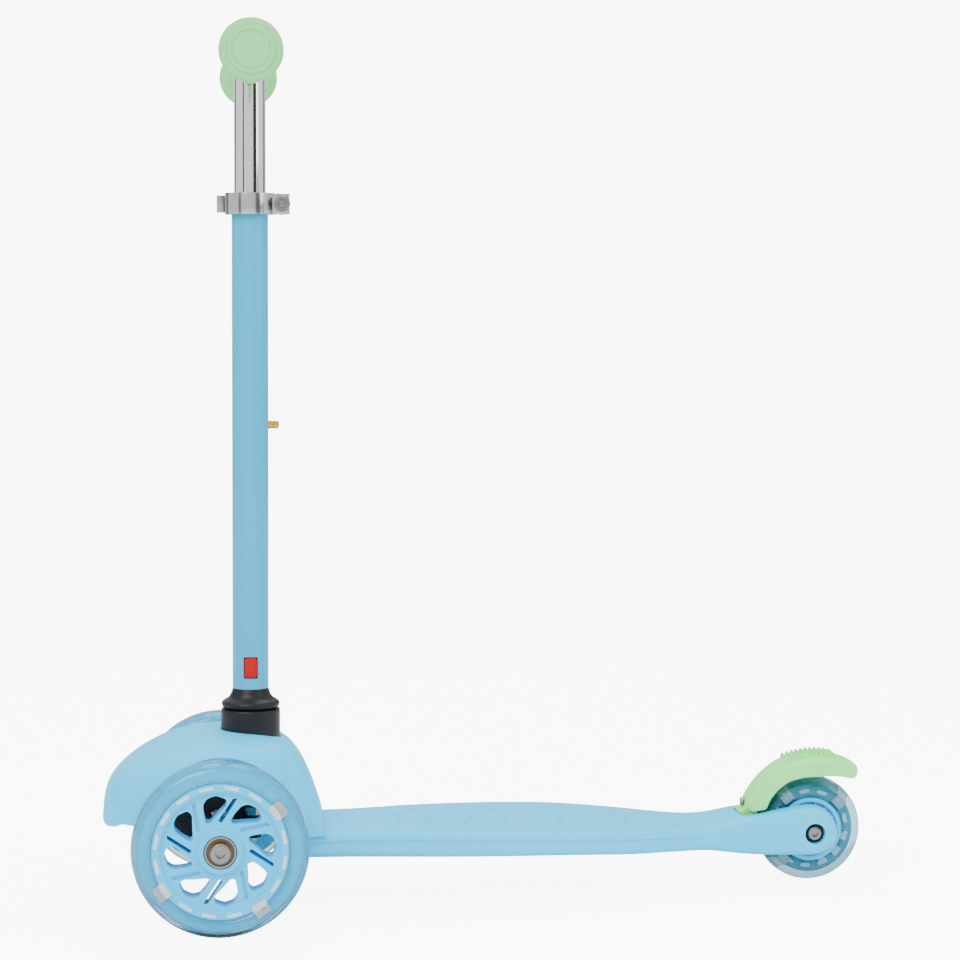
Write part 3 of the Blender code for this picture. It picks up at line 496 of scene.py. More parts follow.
def finishes(look):
    """Every finish by name."""
    blue, tube, mint, grip = look.body_colour, look.tube_colour, look.fender_colour, look.grip_colour
    return {
        "blue": finish("Moulded Blue", blue, 0.42, "blue_plastic", scuff=0.06, soft=0.05),
        "wheel_blue": finish("Wheel Blue", look.wheel_colour, 0.36, "blue_plastic", grain=1200),
        "paint": finish("Painted Tube", tube, 0.30, "blue_paint", coat=0.3, grain=1500, depth=0.00001),
        "mint": finish("Fender Mint", mint, 0.45, "mint_plastic", soft=0.05),
        "grip": finish("Grip Mint", grip, 0.55, "mint_rubber", grain=1600, depth=0.00004, soft=0.05),
        "black": finish("Moulded Black", (0.006, 0.0065, 0.008), 0.38, "black_plastic", grain=1400,
                        gloss=0.25, worn=(0.02, 0.02, 0.022)),
        "rubber": finish("Buffer Rubber", (0.02, 0.02, 0.02), 0.7, "black_rubber"),
        "red": finish("Button Red", (0.42, 0.002, 0.0), 0.32, "red_plastic"),
        # The clear treads' rim colours are painted shade on their edges turned away from the view.
        "clear": finish("Clear Tread", (0.95, 0.99, 1.0), 0.04, "clear_tyre", clear=1.0, ior=1.38, scuff=0.05,
                        mottle=0.01, gloss=0.5, rim=(0.10, 0.20, 0.24)),
        "clear_blue": finish("Clear Blue Tread", (0.42, 0.80, 0.92), 0.05, "clear_tyre", clear=1.0, ior=1.38,
                             scuff=0.05, mottle=0.01, gloss=0.5, rim=(0.06, 0.16, 0.20)),
        "band": finish("Tinted Band", (0.03, 0.34, 0.46), 0.30, "blue_plastic"),
        "inlay": finish("Pale Inlay", (0.55, 0.80, 0.88), 0.35, "clear_tyre", mottle=0.02),
        "lamp": finish("Light Block", (0.52, 0.60, 0.66), 0.25, "light_block", mottle=0.08, grain=500,
                       depth=0.0003),
        "chrome": finish("Chromed Tube", (0.80, 0.81, 0.82), 0.04, "chrome", metallic=1.0, scuff=0.03,
                         mottle=0.01, depth=0.000004),
        "steel": finish("Zinc Steel", (0.24, 0.235, 0.23), 0.24, "steel", metallic=1.0, grain=2500),
        "shield": finish("Bearing Shield", (0.12, 0.075, 0.032), 0.30, "steel", metallic=1.0, grain=2500),
        "aluminium": finish("Polished Aluminium", (0.50, 0.51, 0.52), 0.16, "aluminium", metallic=1.0,
                            grain=1400, streak=0.2),
        "brass": finish("Turned Brass", (0.62, 0.34, 0.05), 0.24, "brass", metallic=1.0, grain=2200),
    }


# ---------------------------------------------------------------- deck and shell
DECK_HALF = [
    (0.0465, 0.0465), (0.070, 0.0455), (0.090, 0.0452), (0.120, 0.049), (0.150, 0.0535), (0.190, 0.0573),
    (0.225, 0.058), (0.260, 0.0548), (0.290, 0.0475), (0.315, 0.0385), (0.335, 0.0328), (0.352, 0.0298),
    (0.370, 0.0283), (0.390, 0.028), (0.426, 0.028), (0.434, 0.0272), (0.4385, 0.0255), (0.4403, 0.0235),
]
DECK_TOP = [
    (0.0465, 0.055), (0.086, 0.055), (0.122, 0.055), (0.135, 0.055), (0.200, 0.0535), (0.240, 0.0518),
    (0.290, 0.0484), (0.335, 0.0456), (0.352, 0.0466), (0.368, 0.0495), (0.385, 0.0518), (0.400, 0.0545),
    (0.414, 0.0566), (0.426, 0.0566), (0.434, 0.0525), (0.4385, 0.0465), (0.4403, 0.0405),
]
DECK_BOTTOM = [
    (0.0465, 0.0385), (0.090, 0.037), (0.150, 0.0365), (0.225, 0.0355), (0.260, 0.034), (0.290, 0.0317),
    (0.320, 0.030), (0.345, 0.0287), (0.368, 0.0252), (0.385, 0.0235), (0.410, 0.0224), (0.424, 0.0222),
    (0.432, 0.0246), (0.4385, 0.0292), (0.4403, 0.0345),
]
SHELL_HALF = [
    (-0.082, 0.020), (-0.0805, 0.032), (-0.076, 0.045), (-0.069, 0.0565), (-0.060, 0.0660), (-0.048, 0.0730),
    (-0.030, 0.0775), (0.000, 0.0780), (0.020, 0.0745), (0.036, 0.0665), (0.050, 0.0570), (0.062, 0.0505),
    (0.072, 0.0475),
]
SHELL_TOP = [
    (-0.082, 0.0700), (-0.0805, 0.0830), (-0.076, 0.0925), (-0.069, 0.1000), (-0.060, 0.1068),
    (-0.048, 0.1135), (-0.034, 0.1192), (-0.018, 0.1228), (0.000, 0.1240), (0.020, 0.1232), (0.036, 0.1202),
    (0.047, 0.1150), (0.056, 0.1050), (0.063, 0.0910), (0.069, 0.0740), (0.072, 0.0630),
]
RIDGES = (0.127, 0.149, 0.177, 0.203, 0.243, 0.290)

# Deck section from the lower corner up to the tread: inset from the side, and height above the bottom
# or, when negative, below the top.
SECTION = [
    (0.0055, 0.0), (0.0022, 0.0009), (0.0006, 0.0030), (0.0, 0.0055), (0.0, -0.0078), (0.0009, -0.0072),
    (0.0009, -0.0062), (0.0001, -0.0055), (0.0003, -0.0040), (0.0011, -0.0024), (0.0024, -0.0011),
    (0.0042, -0.0003), (0.0064, -1e-9),
]


def deck_ring(x):
    half, top, bottom = (between(table, x) for table in (DECK_HALF, DECK_TOP, DECK_BOTTOM))
    size = min(1.0, (top - bottom) / 0.0175)
    fade = min(max((0.350 - x) / 0.030, 0.0), 1.0)
    right = []
    for inset, up in SECTION:
        inset = inset * fade if inset == 0.0009 else inset
        right.append((half - inset * size, (bottom if up >= 0 else top) + up * size))
    left = [(-y, z) for y, z in reversed(right)]
    return [Vector((FRONT_X + x, y, z)) for y, z in right + left]


def deck_pockets():
    mesh = bmesh.new()
    for i in range(8):
        start = 0.056 + 0.036 * i
        end = start + 0.033
        inner = min(between(DECK_HALF, start), between(DECK_HALF, end)) - 0.0085
        roof = min(between(DECK_TOP, start), between(DECK_TOP, end)) - 0.0035
        for side in (-1, 1):
            low, high = sorted((side * 0.0015, side * inner))
            outline = rounded([(start, low), (end, low), (end, high), (start, high)], 0.004)
            prism(outline, 0.010, roof, Matrix.Translation((FRONT_X, 0, 0)), mesh)
    return mesh


def tread_ridge(x, reach):
    """One low crescent across the tread, bowed towards the back."""
    rings = []
    radius = 0.052
    sweep = reach / radius
    for i in range(33):
        a = sweep * (i / 16 - 1)
        size = max(0.04, 1 - abs(i / 16 - 1) ** 4)
        middle = x - radius * (1 - cos(a))
        ring = []
        for k in range(8):
            t = TURN * k / 8
            across, up = 0.0014 * size * cos(t), 0.0010 * size * sin(t)
            px, py = middle + across * cos(a), (radius + across) * sin(a)
            ring.append(Vector((FRONT_X + px, py, between(DECK_TOP, px) + up)))
        rings.append(ring)
    return lofted(rings)


def make_deck(look, paint):
    stations = [0.0465 + (0.426 - 0.0465) * i / 110 for i in range(111)]
    stations += [0.426 + (0.4403 - 0.426) * (1 - (1 - i / 12) ** 2) for i in range(1, 13)]
    axle = along_y(REAR_X, 0, REAR_R)
    slot = rounded([(REAR_X - REAR_R - 0.0135, -FORK_GAP), (REAR_X + 0.03, -FORK_GAP),
                    (REAR_X + 0.03, FORK_GAP), (REAR_X - REAR_R - 0.0135, FORK_GAP)], 0.005)
    bosses = bmesh.new()
    for side in (-1, 1):
        low, high = sorted((side * (HALF_WHEEL + GAP), side * (FORK_GAP + 0.002)))
        rod(0.0064, low, high, axle, mesh=bosses)
    bore = [(0, -0.040), (0.0074, -0.040), (0.0074, -0.0222), (0.0042, -0.0222)]
    bore += [(r, -h) for r, h in reversed(bore)]
    pivot = along_y(FENDER_PIVOT[0], 0, FENDER_PIVOT[1])
    deck = lofted([deck_ring(x) for x in stations])
    cuts = [deck_pockets(), prism(slot, 0.010, 0.070)]
    # The slot is cut before the bosses are joined, because they stand inside it.
    obj = piece("deck_moulding", deck, "root", paint["blue"], ["deck"], cuts, angle=40)
    whole = bmesh.new()
    whole.from_mesh(obj.data)
    bpy.data.objects.remove(obj)
    piece("deck_moulding", whole, "root", paint["blue"], ["deck"],
          [turned(bore, axle, 48, False), rod(0.0029, -0.0225, 0.0225, pivot)], [bosses], edge=look.edge,
          angle=40)
    for index, x in enumerate(RIDGES):
        reach = between(DECK_HALF, x) - 0.012
        piece(f"tread_ridge_{index + 1}", tread_ridge(x, reach), "root", paint["blue"])


def shell_ring(x, inset, steps=44):
    half, top = between(SHELL_HALF, x) - inset, between(SHELL_TOP, x) - inset
    ring = []
    for i in range(steps + 1):
        angle = pi * i / steps
        y = half * (1 if cos(angle) > 0 else -1) * abs(cos(angle)) ** 0.62
        rise = min(abs(y) / 0.060, 1.0)
        ahead = min(max((-0.071 - x) / 0.0112, 0.0), 1.0)
        low = 0.0542 if x > 0.046 else 0.058 + 0.012 * rise * rise + 0.0100 * (1 - sqrt(1 - ahead * ahead))
        low -= 0.030 if inset else 0.0
        ring.append(Vector((FRONT_X + x, y, low + (top - low) * max(sin(angle), 0.0) ** 0.62)))
    return ring


def make_shell(look, paint):
    outer = [-0.082 + 0.013 * (i / 14) ** 2 for i in range(15)]
    outer += [-0.069 + 0.141 * i / 60 for i in range(1, 61)]
    inner = [-0.0785 + 0.0095 * (i / 6) ** 2 for i in range(7)]
    inner += [-0.069 + 0.115 * i / 30 for i in range(1, 31)]
    arches = bmesh.new()
    for low, high in ((-0.090, -0.0615), (0.0615, 0.090)):
        rod(0.054, low, high, along_y(FRONT_X, 0, FRONT_R), 96, arches)
    cuts = [lofted([shell_ring(x, 0.003) for x in inner]), arches, rod(0.0214, 0.100, 0.140, STEM, 72)]
    piece("shell_moulding", lofted([shell_ring(x, 0) for x in outer]), "root", paint["blue"], ["front_shell"],
          cuts, edge=look.edge, angle=42)


# ---------------------------------------------------------------- stem and collar
def ball_height(radius, ball):
    return LEAN_Z + sqrt(ball * ball - radius * radius)


def make_stem(look, paint):
    n = look.segments
    tube = [(TUBE_BORE, STEM_FOOT), (TUBE_R, STEM_FOOT), (TUBE_R, TUBE_TOP), (TUBE_BORE, TUBE_TOP)]
    window = rounded([(-0.0049, BUTTON_Z - 0.0076), (0.0049, BUTTON_Z - 0.0076), (0.0049, BUTTON_Z + 0.0076),
                      (-0.0049, BUTTON_Z + 0.0076)], 0.0012)
    flat = STEM @ Matrix.Rotation(pi / 2, 4, "X")
    cuts = [prism(window, 0.0, 0.020, flat), rod(0.0034, 0.005, 0.020, STEM @ along_x(0, 0, DETENT_Z))]
    piece("painted_tube", turned(tube, STEM, n), "column", paint["paint"], ["stem_tube"], cuts, edge=0.0002)
    seat = [(r, ball_height(r, SEAT_R)) for r in (0.0080, 0.0100, 0.0125, 0.0150, 0.0175, 0.0190)]
    boot = seat + [(0.0197, 0.1394), (0.0203, 0.1400), (0.0206, 0.1411), (0.0205, 0.1422), (0.0199, 0.1432),
                   (0.0186, 0.1441), (0.0170, 0.1449), (0.0155, 0.1461), (0.0143, 0.1478), (0.0135, 0.1498),
                   (0.0131, 0.1514), (0.0127, 0.1522), (0.0118, 0.1522), (0.0110, 0.1518), (0.0080, 0.1440)]
    piece("collar_boot", turned(boot, STEM, n), "column", paint["black"], ["column_boot"])
    ball = SEAT_R - 0.0008
    ring = [(0.0165, 0.1103), (0.0209, 0.1103), (0.0209, 0.1362), (0.02075, 0.1372), (0.0204, 0.1378)]
    ring += [(r, ball_height(r, ball)) for r in (0.0198, 0.0190, 0.0180, 0.0165)]
    piece("collar_skirt", turned(ring, STEM, n), "root", paint["black"], ["collar_ring"])
    face = STEM @ along_y(0, 0, BUTTON_Z)
    pad = rounded([(-0.00435, -0.0070), (0.00435, -0.0070), (0.00435, 0.0070), (-0.00435, 0.0070)], 0.0014)
    step = rounded([(-0.0031, -0.0056), (0.0031, -0.0056), (0.0031, 0.0056), (-0.0031, 0.0056)], 0.0010)
    piece("button_cap", prism(pad, -0.0132, -0.0062, face), "release_button", paint["red"],
          ["release_button"],
          [], [prism(step, -0.0136, -0.0120, face)], edge=0.0003)
    nose = [(0, 0.0062), (0.0042, 0.0062), (0.0042, 0.0074), (0.0029, 0.0074), (0.0029, 0.0148),
            (0.0026, 0.0152), (0.0026, 0.0158), (0.0029, 0.0162), (0.0029, 0.0186), (0.0026, 0.0195),
            (0.0018, 0.0202), (0, 0.0205)]
    piece("detent_nose", turned(nose, STEM @ along_x(0, 0, DETENT_Z), 48, False), "detent_pin",
          paint["brass"],
          ["detent_pin"])


# ---------------------------------------------------------------- handlebar and clamp
def make_handlebar(look, paint):
    n = look.segments
    x = stem_x(BAR_Z)
    cross = along_y(x, 0, BAR_Z)
    end = BAR_HALF - 0.0055
    bar = rod(BAR_R, 0.2552, BAR_Z, STEM, n)
    cuts = [rod(BAR_BORE, 0.2452, BAR_Z, STEM, n), rod(BAR_BORE, -BAR_HALF, BAR_HALF, cross, n),
            block((0.004, 0.015), (-0.0036, 0.0036), (0.263, 0.410), STEM)]
    piece("chromed_bar", bar, "handlebar", paint["chrome"], ["t_bar"], cuts,
          [rod(BAR_R, -end, end, cross, n)])
    for side, name in ((-1, "left"), (1, "right")):
        place = cross @ (Matrix.Rotation(pi, 4, "X") if side < 0 else UPRIGHT)
        wall, start, flange, tip = 0.0115, 0.024, 0.1125, BAR_HALF
        ribs = turned([(0.0149, start + 0.006), (0.0154, start + 0.0065), (0.0154, start + 0.0080),
                       (0.0149, start + 0.0085), (0.0120, start + 0.0085), (0.0120, start + 0.006)],
                      segments=n)
        ribs = repeated(ribs, 17, (0, 0, 0.0044), (0, 0, 0), place, paint["grip"])
        profile = [(wall, start), (0.0140, start), (0.0148, start + 0.0006), (0.0150, start + 0.002),
                   (0.0150, flange - 0.006), (0.0156, flange - 0.0035), (0.0174, flange - 0.0014),
                   (0.0200, flange - 0.0004), (0.0210, flange + 0.0006), (0.0214, flange + 0.0020),
                   (0.0213, flange + 0.0036), (0.0206, flange + 0.0050), (0.0190, flange + 0.0062),
                   (0.0170, flange + 0.0067), (0.0161, flange + 0.0069), (0.0159, tip - 0.0006),
                   (0.0154, tip), (0.0130, tip), (0.0127, tip - 0.0005), (0.0122, tip - 0.0005),
                   (0.0119, tip), (0, tip), (0, tip - 0.0045), (wall, tip - 0.0045)]
        piece(f"grip_sleeve_{name}", turned(profile, place, n), "handlebar", paint["grip"], [f"grip_{name}"])
        piece(f"grip_ribs_{name}", ribs, "handlebar", paint["grip"])


def make_clamp(look, paint):
    low, high = CLAMP
    n = look.segments
    middle = (low + high) / 2
    profile = [(CLAMP_BORE, low), (CLAMP_R, low), (CLAMP_R, high), (CLAMP_BORE, high)]
    ears = rounded([(0.0138, -0.0078), (0.0278, -0.0078), (0.0278, 0.0078), (0.0138, 0.0078)], 0.0022)
    line = STEM @ along_y(LUG[0], 0, middle)
    pivot = STEM @ Matrix.Translation((LUG[0], LUG[1], middle))
    split = block((0.005, 0.040), (-0.0011, 0.0011), (low - 0.01, high + 0.01), STEM)
    piece("clamp_ring", turned(profile, STEM, n), "column", paint["aluminium"], ["clamp_band"],
          [split, rod(0.0033, -0.020, 0.020, line), rod(CLAMP_BORE, low - 0.01, high + 0.01, STEM, n)],
          [prism(ears, low + 0.0004, high - 0.0004, STEM)], edge=0.0005)
    piece("clamp_stud", rod(0.0027, -0.0128, 0.0125, line), "column", paint["steel"], ["clamp_bolt"],
          [rod(0.0023, -0.010, 0.010, pivot)], [rod(0.0042, -0.0031, 0.0031, pivot)], edge=0.0003)
    nut = [(0.0030, -0.0122), (0.0050, -0.0122), (0.0056, -0.0116), (0.0056, -0.0081), (0.0030, -0.0081)]
    piece("clamp_barrel_nut", turned(nut, line, 48), "column", paint["steel"], ["clamp_nut"])
    piece("clamp_pin", rod(0.0020, -0.0072, 0.0072, pivot), "column", paint["steel"], ["clamp_lever_pin"],
          edge=0.0003)
    start = atan2(LUG[1], LUG[0]) + radians(6)
    turns = [start + (radians(164) - start) * i / 40 for i in range(41)]
    arm = [(0.0226 * cos(a), 0.0226 * sin(a)) for a in turns] + polar([(0.0236, 170)])
    arm += [(0.0190 * cos(a), 0.0190 * sin(a)) for a in reversed(turns)]
    piece("clamp_handle", prism(arm, middle - 0.0060, middle + 0.0060, STEM), "clamp_lever",
          paint["aluminium"], ["clamp_lever"],
          [rod(0.0075, -0.0035, 0.0035, pivot), rod(0.0024, -0.010, 0.010, pivot)],
          [rod(0.0058, -0.0060, 0.0060, pivot)], edge=0.0006)


# ---------------------------------------------------------------- wheels
WINDOW = [(0.0352, -17), (0.0310, -18), (0.0255, -8), (0.0200, 10), (0.0212, 17), (0.0272, 14), (0.0335, 10),
          (0.0366, 4), (0.0378, -6)]
SLIT = [(0.0372, -2.2), (0.0366, 2.2), (0.0205, 20.5), (0.0188, 13.5)]


def lens(profile):
    return profile + [(r, -h) for r, h in reversed(profile)]


def slots(radius, length, width, depth, count, phase, place, material):
    """Cutters for short slots round a rim."""
    outline = rounded([(radius - width / 2, -length / 2), (radius + width / 2, -length / 2),
                       (radius + width / 2, length / 2), (radius - width / 2, length / 2)], width * 0.45)
    turn = place @ Matrix.Rotation(radians(phase), 4, "Z")
    return repeated(prism(outline, -depth, depth), count, (0, 0, 0), (0, 0, TURN / count), turn, material)


def make_bearings(wheel, place, paint):
    for tag, sign in (("outer", 1), ("inner", -1)):
        near, far = sign * 0.0047, sign * 0.0117
        race = [(0.0091, near), (0.0110, near), (0.0110, far - sign * 0.0004), (0.0106, far), (0.0094, far),
                (0.0091, far - sign * 0.0004)]
        piece(f"{wheel}_race_{tag}", turned(race, place, 64), wheel, paint["steel"],
              [f"{wheel}_bearing_{tag}"])
        shield = [(0.0041, near), (0.0090, near), (0.0090, far - sign * 0.0008),
                  (0.0062, far - sign * 0.0005), (0.0060, far), (0.0041, far)]
        piece(f"{wheel}_shield_{tag}", turned(shield, place, 64), wheel, paint["shield"])


def make_lamps(wheel, place, angles, limits, half, width, paint):
    for index, angle in enumerate(angles):
        turn = place @ Matrix.Rotation(radians(angle), 4, "Z")
        lamp = block(limits, (-width, width), (-half, half), turn)
        piece(f"{wheel}_lamp_{index + 1}", lamp, wheel, paint["lamp"], [f"{wheel}_light_{index + 1}"],
              edge=0.0006)


def make_front_wheel(side, name, look, paint):
    wheel = f"front_wheel_{name}"
    n = look.segments + 32
    place = outward(side, FRONT_X, FRONT_R) @ Matrix.Translation((0, 0, TRACK / 2))
    crown = [(0.0463, -0.0100), (0.0470, -0.0115), (0.0490, -0.0120), (0.0525, -0.0119), (0.0550, -0.0112),
             (0.0572, -0.0094), (0.0588, -0.0067), (0.0597, -0.0034)]
    tyre = crown + [(0.0600, 0.0)] + [(r, -h) for r, h in reversed(crown)]
    piece(f"{wheel}_tread", turned(tyre, place, n), wheel, paint["clear"], [f"{wheel}_tyre"], angle=60)
    core = lens([(0.0113, -0.0118), (0.0142, -0.0118), (0.0150, -0.0112), (0.0158, -0.0088),
                 (0.0172, -0.0076), (0.0384, -0.0076), (0.0396, -0.0086), (0.0404, -0.0106),
                 (0.0412, -0.0111), (0.0454, -0.0111), (0.0460, -0.0104), (0.0461, -0.0078),
                 (0.0540, -0.0060), (0.0545, -0.0050)])
    through, shallow = -0.02, 0.0056
    cuts = []
    for outline, ease, steps, low, count, phase in ((WINDOW, 0.002, 4, through, 8, 9),
                                                    (SLIT, 0.0008, 3, through, 4, 73),
                                                    (SLIT, 0.0008, 3, shallow, 4, 28)):
        unit = prism(rounded(polar(outline), ease, steps), low, 0.02)
        turn = place @ Matrix.Rotation(radians(phase), 4, "Z")
        cuts.append(repeated(unit, count, (0, 0, 0), (0, 0, TURN / count), turn, paint["wheel_blue"]))
    dashes = slots(0.0434, 0.0112, 0.0030, 0.02, 16, 11.25, place, paint["wheel_blue"])
    piece(f"{wheel}_spokes", turned(core, place, n), wheel, paint["wheel_blue"], [f"{wheel}_core"],
          [*cuts, dashes], edge=0.0004)
    inlays = slots(0.0434, 0.0108, 0.0027, 0.0104, 16, 11.25, place, paint["inlay"])
    piece(f"{wheel}_inlays", inlays, wheel, paint["inlay"])
    make_lamps(wheel, place, (34, 213, 304), (0.0425, 0.0520), 0.0114, 0.0056, paint)
    make_bearings(wheel, place, paint)
    head = TRACK / 2 + HALF_WHEEL
    bolt = [(0, 0.0795), (BOLT_SHANK, 0.0795), (BOLT_SHANK, head + 0.0004), (0.0066, head + 0.0004),
            (0.0070, head + 0.0008), (0.0070, head + 0.0034), (0.0064, head + 0.0041),
            (0.0040, head + 0.0042), (0, head + 0.0042)]
    out = outward(side, FRONT_X, FRONT_R)
    piece(f"axle_bolt_{name}", turned(bolt, out, 64, False), f"knuckle_{name}", paint["steel"],
          [f"front_axle_bolt_{name}"], [prism(hexagon(0.0034), head + 0.0012, head + 0.01, out)], edge=0.0002)


def make_rear_wheel(look, paint):
    wheel, n = "rear_wheel", look.segments + 32
    place = outward(-1, REAR_X, REAR_R)
    crown = [(0.0232, -0.0104), (0.0238, -0.0116), (0.0255, -0.0120), (0.0305, -0.0119), (0.0330, -0.0112),
             (0.0352, -0.0094), (0.0368, -0.0067), (0.0377, -0.0034)]
    tyre = crown + [(0.0380, 0.0)] + [(r, -h) for r, h in reversed(crown)]
    piece("rear_wheel_tread", turned(tyre, place, n), wheel, paint["clear_blue"], ["rear_wheel_tyre"],
          angle=60)
    core = lens([(0.0113, -0.0118), (0.0136, -0.0118), (0.0142, -0.0110), (0.0148, -0.0062),
                 (0.0190, -0.0062), (0.0196, -0.0108), (0.0202, -0.0113), (0.0224, -0.0113),
                 (0.0229, -0.0104), (0.0230, -0.0070)])
    band = lens([(0.0231, -0.0060), (0.0306, -0.0056), (0.0312, -0.0046)])
    ribs = repeated(block((0.0142, 0.0198), (-0.0006, 0.0006), (-0.0100, 0.0100)), 14, (0, 0, 0),
                    (0, 0, TURN / 14), place, paint["wheel_blue"])
    dashes = slots(0.0271, 0.0078, 0.0026, 0.02, 13, 14, place, paint["wheel_blue"])
    piece("rear_wheel_hub", turned(core, place, n), wheel, paint["wheel_blue"], ["rear_wheel_core"], [],
          [ribs], edge=0.0004)
    piece("rear_wheel_band", turned(band, place, n), wheel, paint["band"], [], [dashes])
    inlays = slots(0.0271, 0.0074, 0.0023, 0.0062, 13, 14, place, paint["inlay"])
    piece(f"{wheel}_inlays", inlays, wheel, paint["inlay"])
    make_lamps(wheel, place, (41, 125, 226), (0.0250, 0.0318), 0.0108, 0.0044, paint)
    make_bearings(wheel, place, paint)
    head = 0.0226
    bolt = [(0, -0.0265), (BOLT_SHANK, -0.0265), (BOLT_SHANK, head), (0.0046, head), (0.0050, head + 0.0005),
            (0.0050, head + 0.0030), (0.0044, head + 0.0037), (0.0034, head + 0.0038), (0, head + 0.0038)]
    liner = [(0.0043, 0.0222), (0.0072, 0.0222), (0.0072, 0.0225), (0.0043, 0.0225)]
    piece("rear_recess_washer", turned(liner, place, 48), "root", paint["black"])
    piece("rear_bolt", turned(bolt, place, 64, False), "root", paint["steel"], ["rear_axle_bolt"],
          [prism(hexagon(0.0026), head + 0.0012, head + 0.01, place)], edge=0.0002)
    nut = [(0.0041, -0.0262), (0.0058, -0.0262), (0.0065, -0.0256), (0.0065, -0.0226), (0.0041, -0.0226)]
    piece("rear_nut", turned(nut, place, 48), "root", paint["steel"], ["rear_axle_nut"])


# ---------------------------------------------------------------- fender
FENDER = [
    (0.3764, 0.0545), (0.3775, 0.0600), (0.3822, 0.0680), (0.3893, 0.0765), (0.3990, 0.0846),
    (0.4100, 0.0897), (0.4220, 0.0920), (0.4350, 0.0918), (0.4440, 0.0904), (0.4510, 0.0880),
    (0.4570, 0.0846), (0.4597, 0.0820), (0.4590, 0.0797), (0.4550, 0.0780), (0.4490, 0.0770),
    (0.4330, 0.0774), (0.4180, 0.0772), (0.4065, 0.0745), (0.3978, 0.0680), (0.3922, 0.0605),
    (0.3900, 0.0545),
]


def make_fender(look, paint):
    side = Matrix.Translation((FRONT_X, 0, 0)) @ Matrix.Rotation(pi / 2, 4, "X")
    outline = rounded(FENDER, 0.004, 4)
    centre = Vector((0.4234, 0.038))
    rings = []
    for i in range(25):
        h = FENDER_HALF * sin(pi / 2 * (i / 12 - 1))
        drop = 0.0042 * (abs(h) / FENDER_HALF) ** 3
        ring = []
        for x, z in outline:
            away = Vector((x, z)) - centre
            crown = min(max((away.length - 0.0440) / 0.0080, 0.0), 1.0)
            away *= 1 - drop * crown / away.length
            ring.append(side @ Vector((centre.x + away.x, centre.y + away.y, h)))
        rings.append(ring)
    foot = rounded([(0.3728, 0.0418), (0.3880, 0.0418), (0.3880, 0.0600), (0.3790, 0.0600), (0.3764, 0.0545),
                    (0.3728, 0.0520)], 0.001)
    hollow = rod(REAR_R + 0.0028, -0.0144, 0.0144, along_y(REAR_X, 0, REAR_R), 128)
    screw = along_x(FRONT_X + 0.3764, 0, 0.0580)
    pivot = along_y(FENDER_PIVOT[0], 0, FENDER_PIVOT[1])
    piece("fender_arch", lofted(rings), "fender", paint["mint"], ["fender"],
          [hollow, rod(0.0029, -0.02, 0.02, pivot), rod(0.0019, -0.005, 0.0065, screw)],
          [prism(foot, -0.0092, 0.0092, side)], edge=look.edge, angle=38)
    ribs = bmesh.new()
    for i in range(11):
        x = 0.4078 + 0.0034 * i
        top = 0.0940 - 8.0 * (x - 0.4285) ** 2
        sides = [(x - 0.0013, 0.086), (x + 0.0013, 0.086), (x + 0.0004, top), (x - 0.0006, top)]
        tooth = rounded(sides, 0.0005, 3)
        across = [(-0.0132, 0.0016), (-0.0110, 0.0), (0.0110, 0.0), (0.0132, 0.0016)]
        lofted([[side @ Vector((px, pz - drop, h)) for px, pz in tooth] for h, drop in across], ribs)
    piece("fender_ribs", ribs, "fender", paint["mint"])
    profile = [(0, -0.0022), (0.0018, -0.0022), (0.0028, -0.0018), (0.0032, -0.0010), (0.0032, -0.0003),
               (0.0015, -0.0003), (0.0015, 0.0060), (0, 0.0060)]
    cross = [block((-0.0020, 0.0020), (-0.0004, 0.0004), (-0.004, -0.0014), screw),
             block((-0.0004, 0.0004), (-0.0020, 0.0020), (-0.004, -0.0014), screw)]
    piece("fender_cross_screw", turned(profile, screw, 48, False), "fender", paint["steel"], ["fender_screw"],
          cross)


# ---------------------------------------------------------------- pieces whose CAD shape is right
KEPT = {
    "black": ("truck_beam", "column_core", "knuckle_left", "knuckle_right"),
    "steel": ("kingpin_left", "kingpin_right", "lean_pivot_pin", "tie_rod", "fender_pin", "fender_spring",
              "front_wheel_left_spacer", "front_wheel_right_spacer", "rear_wheel_spacer"),
}


# Each piece that gives: its body, finish, joint, the way to its fixed end, and how far its free end moves.
GIVING = {
    "detent_spring": ("column", "steel", "detent_press", (-0.999799, 0, 0.02007), 0.0051),
    "button_spring": ("column", "steel", "button_press", (0, 1, 0), 0.0031),
    "lean_buffer_left": ("root", "rubber", "lean", (0, -1, 0), 0.0045),
    "lean_buffer_right": ("root", "rubber", "lean", (0, 1, 0), 0.0045),
}


def dress_giving(paint, frame):
    """Springs and buffers, copied from their CAD nodes as finished pieces on their bodies."""
    for name, (body, finish_name, joint, axis, travel) in GIVING.items():
        node = frame["nodes"][name]
        mesh = bmesh.new()
        mesh.from_mesh(node.data)
        bmesh.ops.transform(mesh, matrix=node.matrix_world, verts=mesh.verts)
        obj = piece(f"{name}_flexing", mesh, body, paint[finish_name], [name])
        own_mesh(obj)


def dress_kept(paint, frame):
    for finish_name, names in KEPT.items():
        for name in names:
            node = frame["nodes"][name]
            node.data.materials.clear()
            node.data.materials.append(paint[finish_name])
            bevel = node.modifiers.new("Edge", "BEVEL")
            bevel.width = 0.00025
            bevel.segments = 2
            bevel.limit_method = "ANGLE"
            bevel.angle_limit = radians(35)


# ---------------------------------------------------------------- studio
def plain(name, colour, roughness):
    material = bpy.data.materials.new(name)
    material.use_nodes = True
    shader = material.node_tree.nodes["Principled BSDF"]
    shader.inputs["Base Color"].default_value = (*colour, 1.0)
    shader.inputs["Roughness"].default_value = roughness
    return material


def staged(name, mesh, material):
    data = bpy.data.meshes.new(name)
    mesh.to_mesh(data)
    mesh.free()
    data.materials.append(material)
    obj = bpy.data.objects.new(name, data)
    bpy.context.scene.collection.objects.link(obj)
    return obj


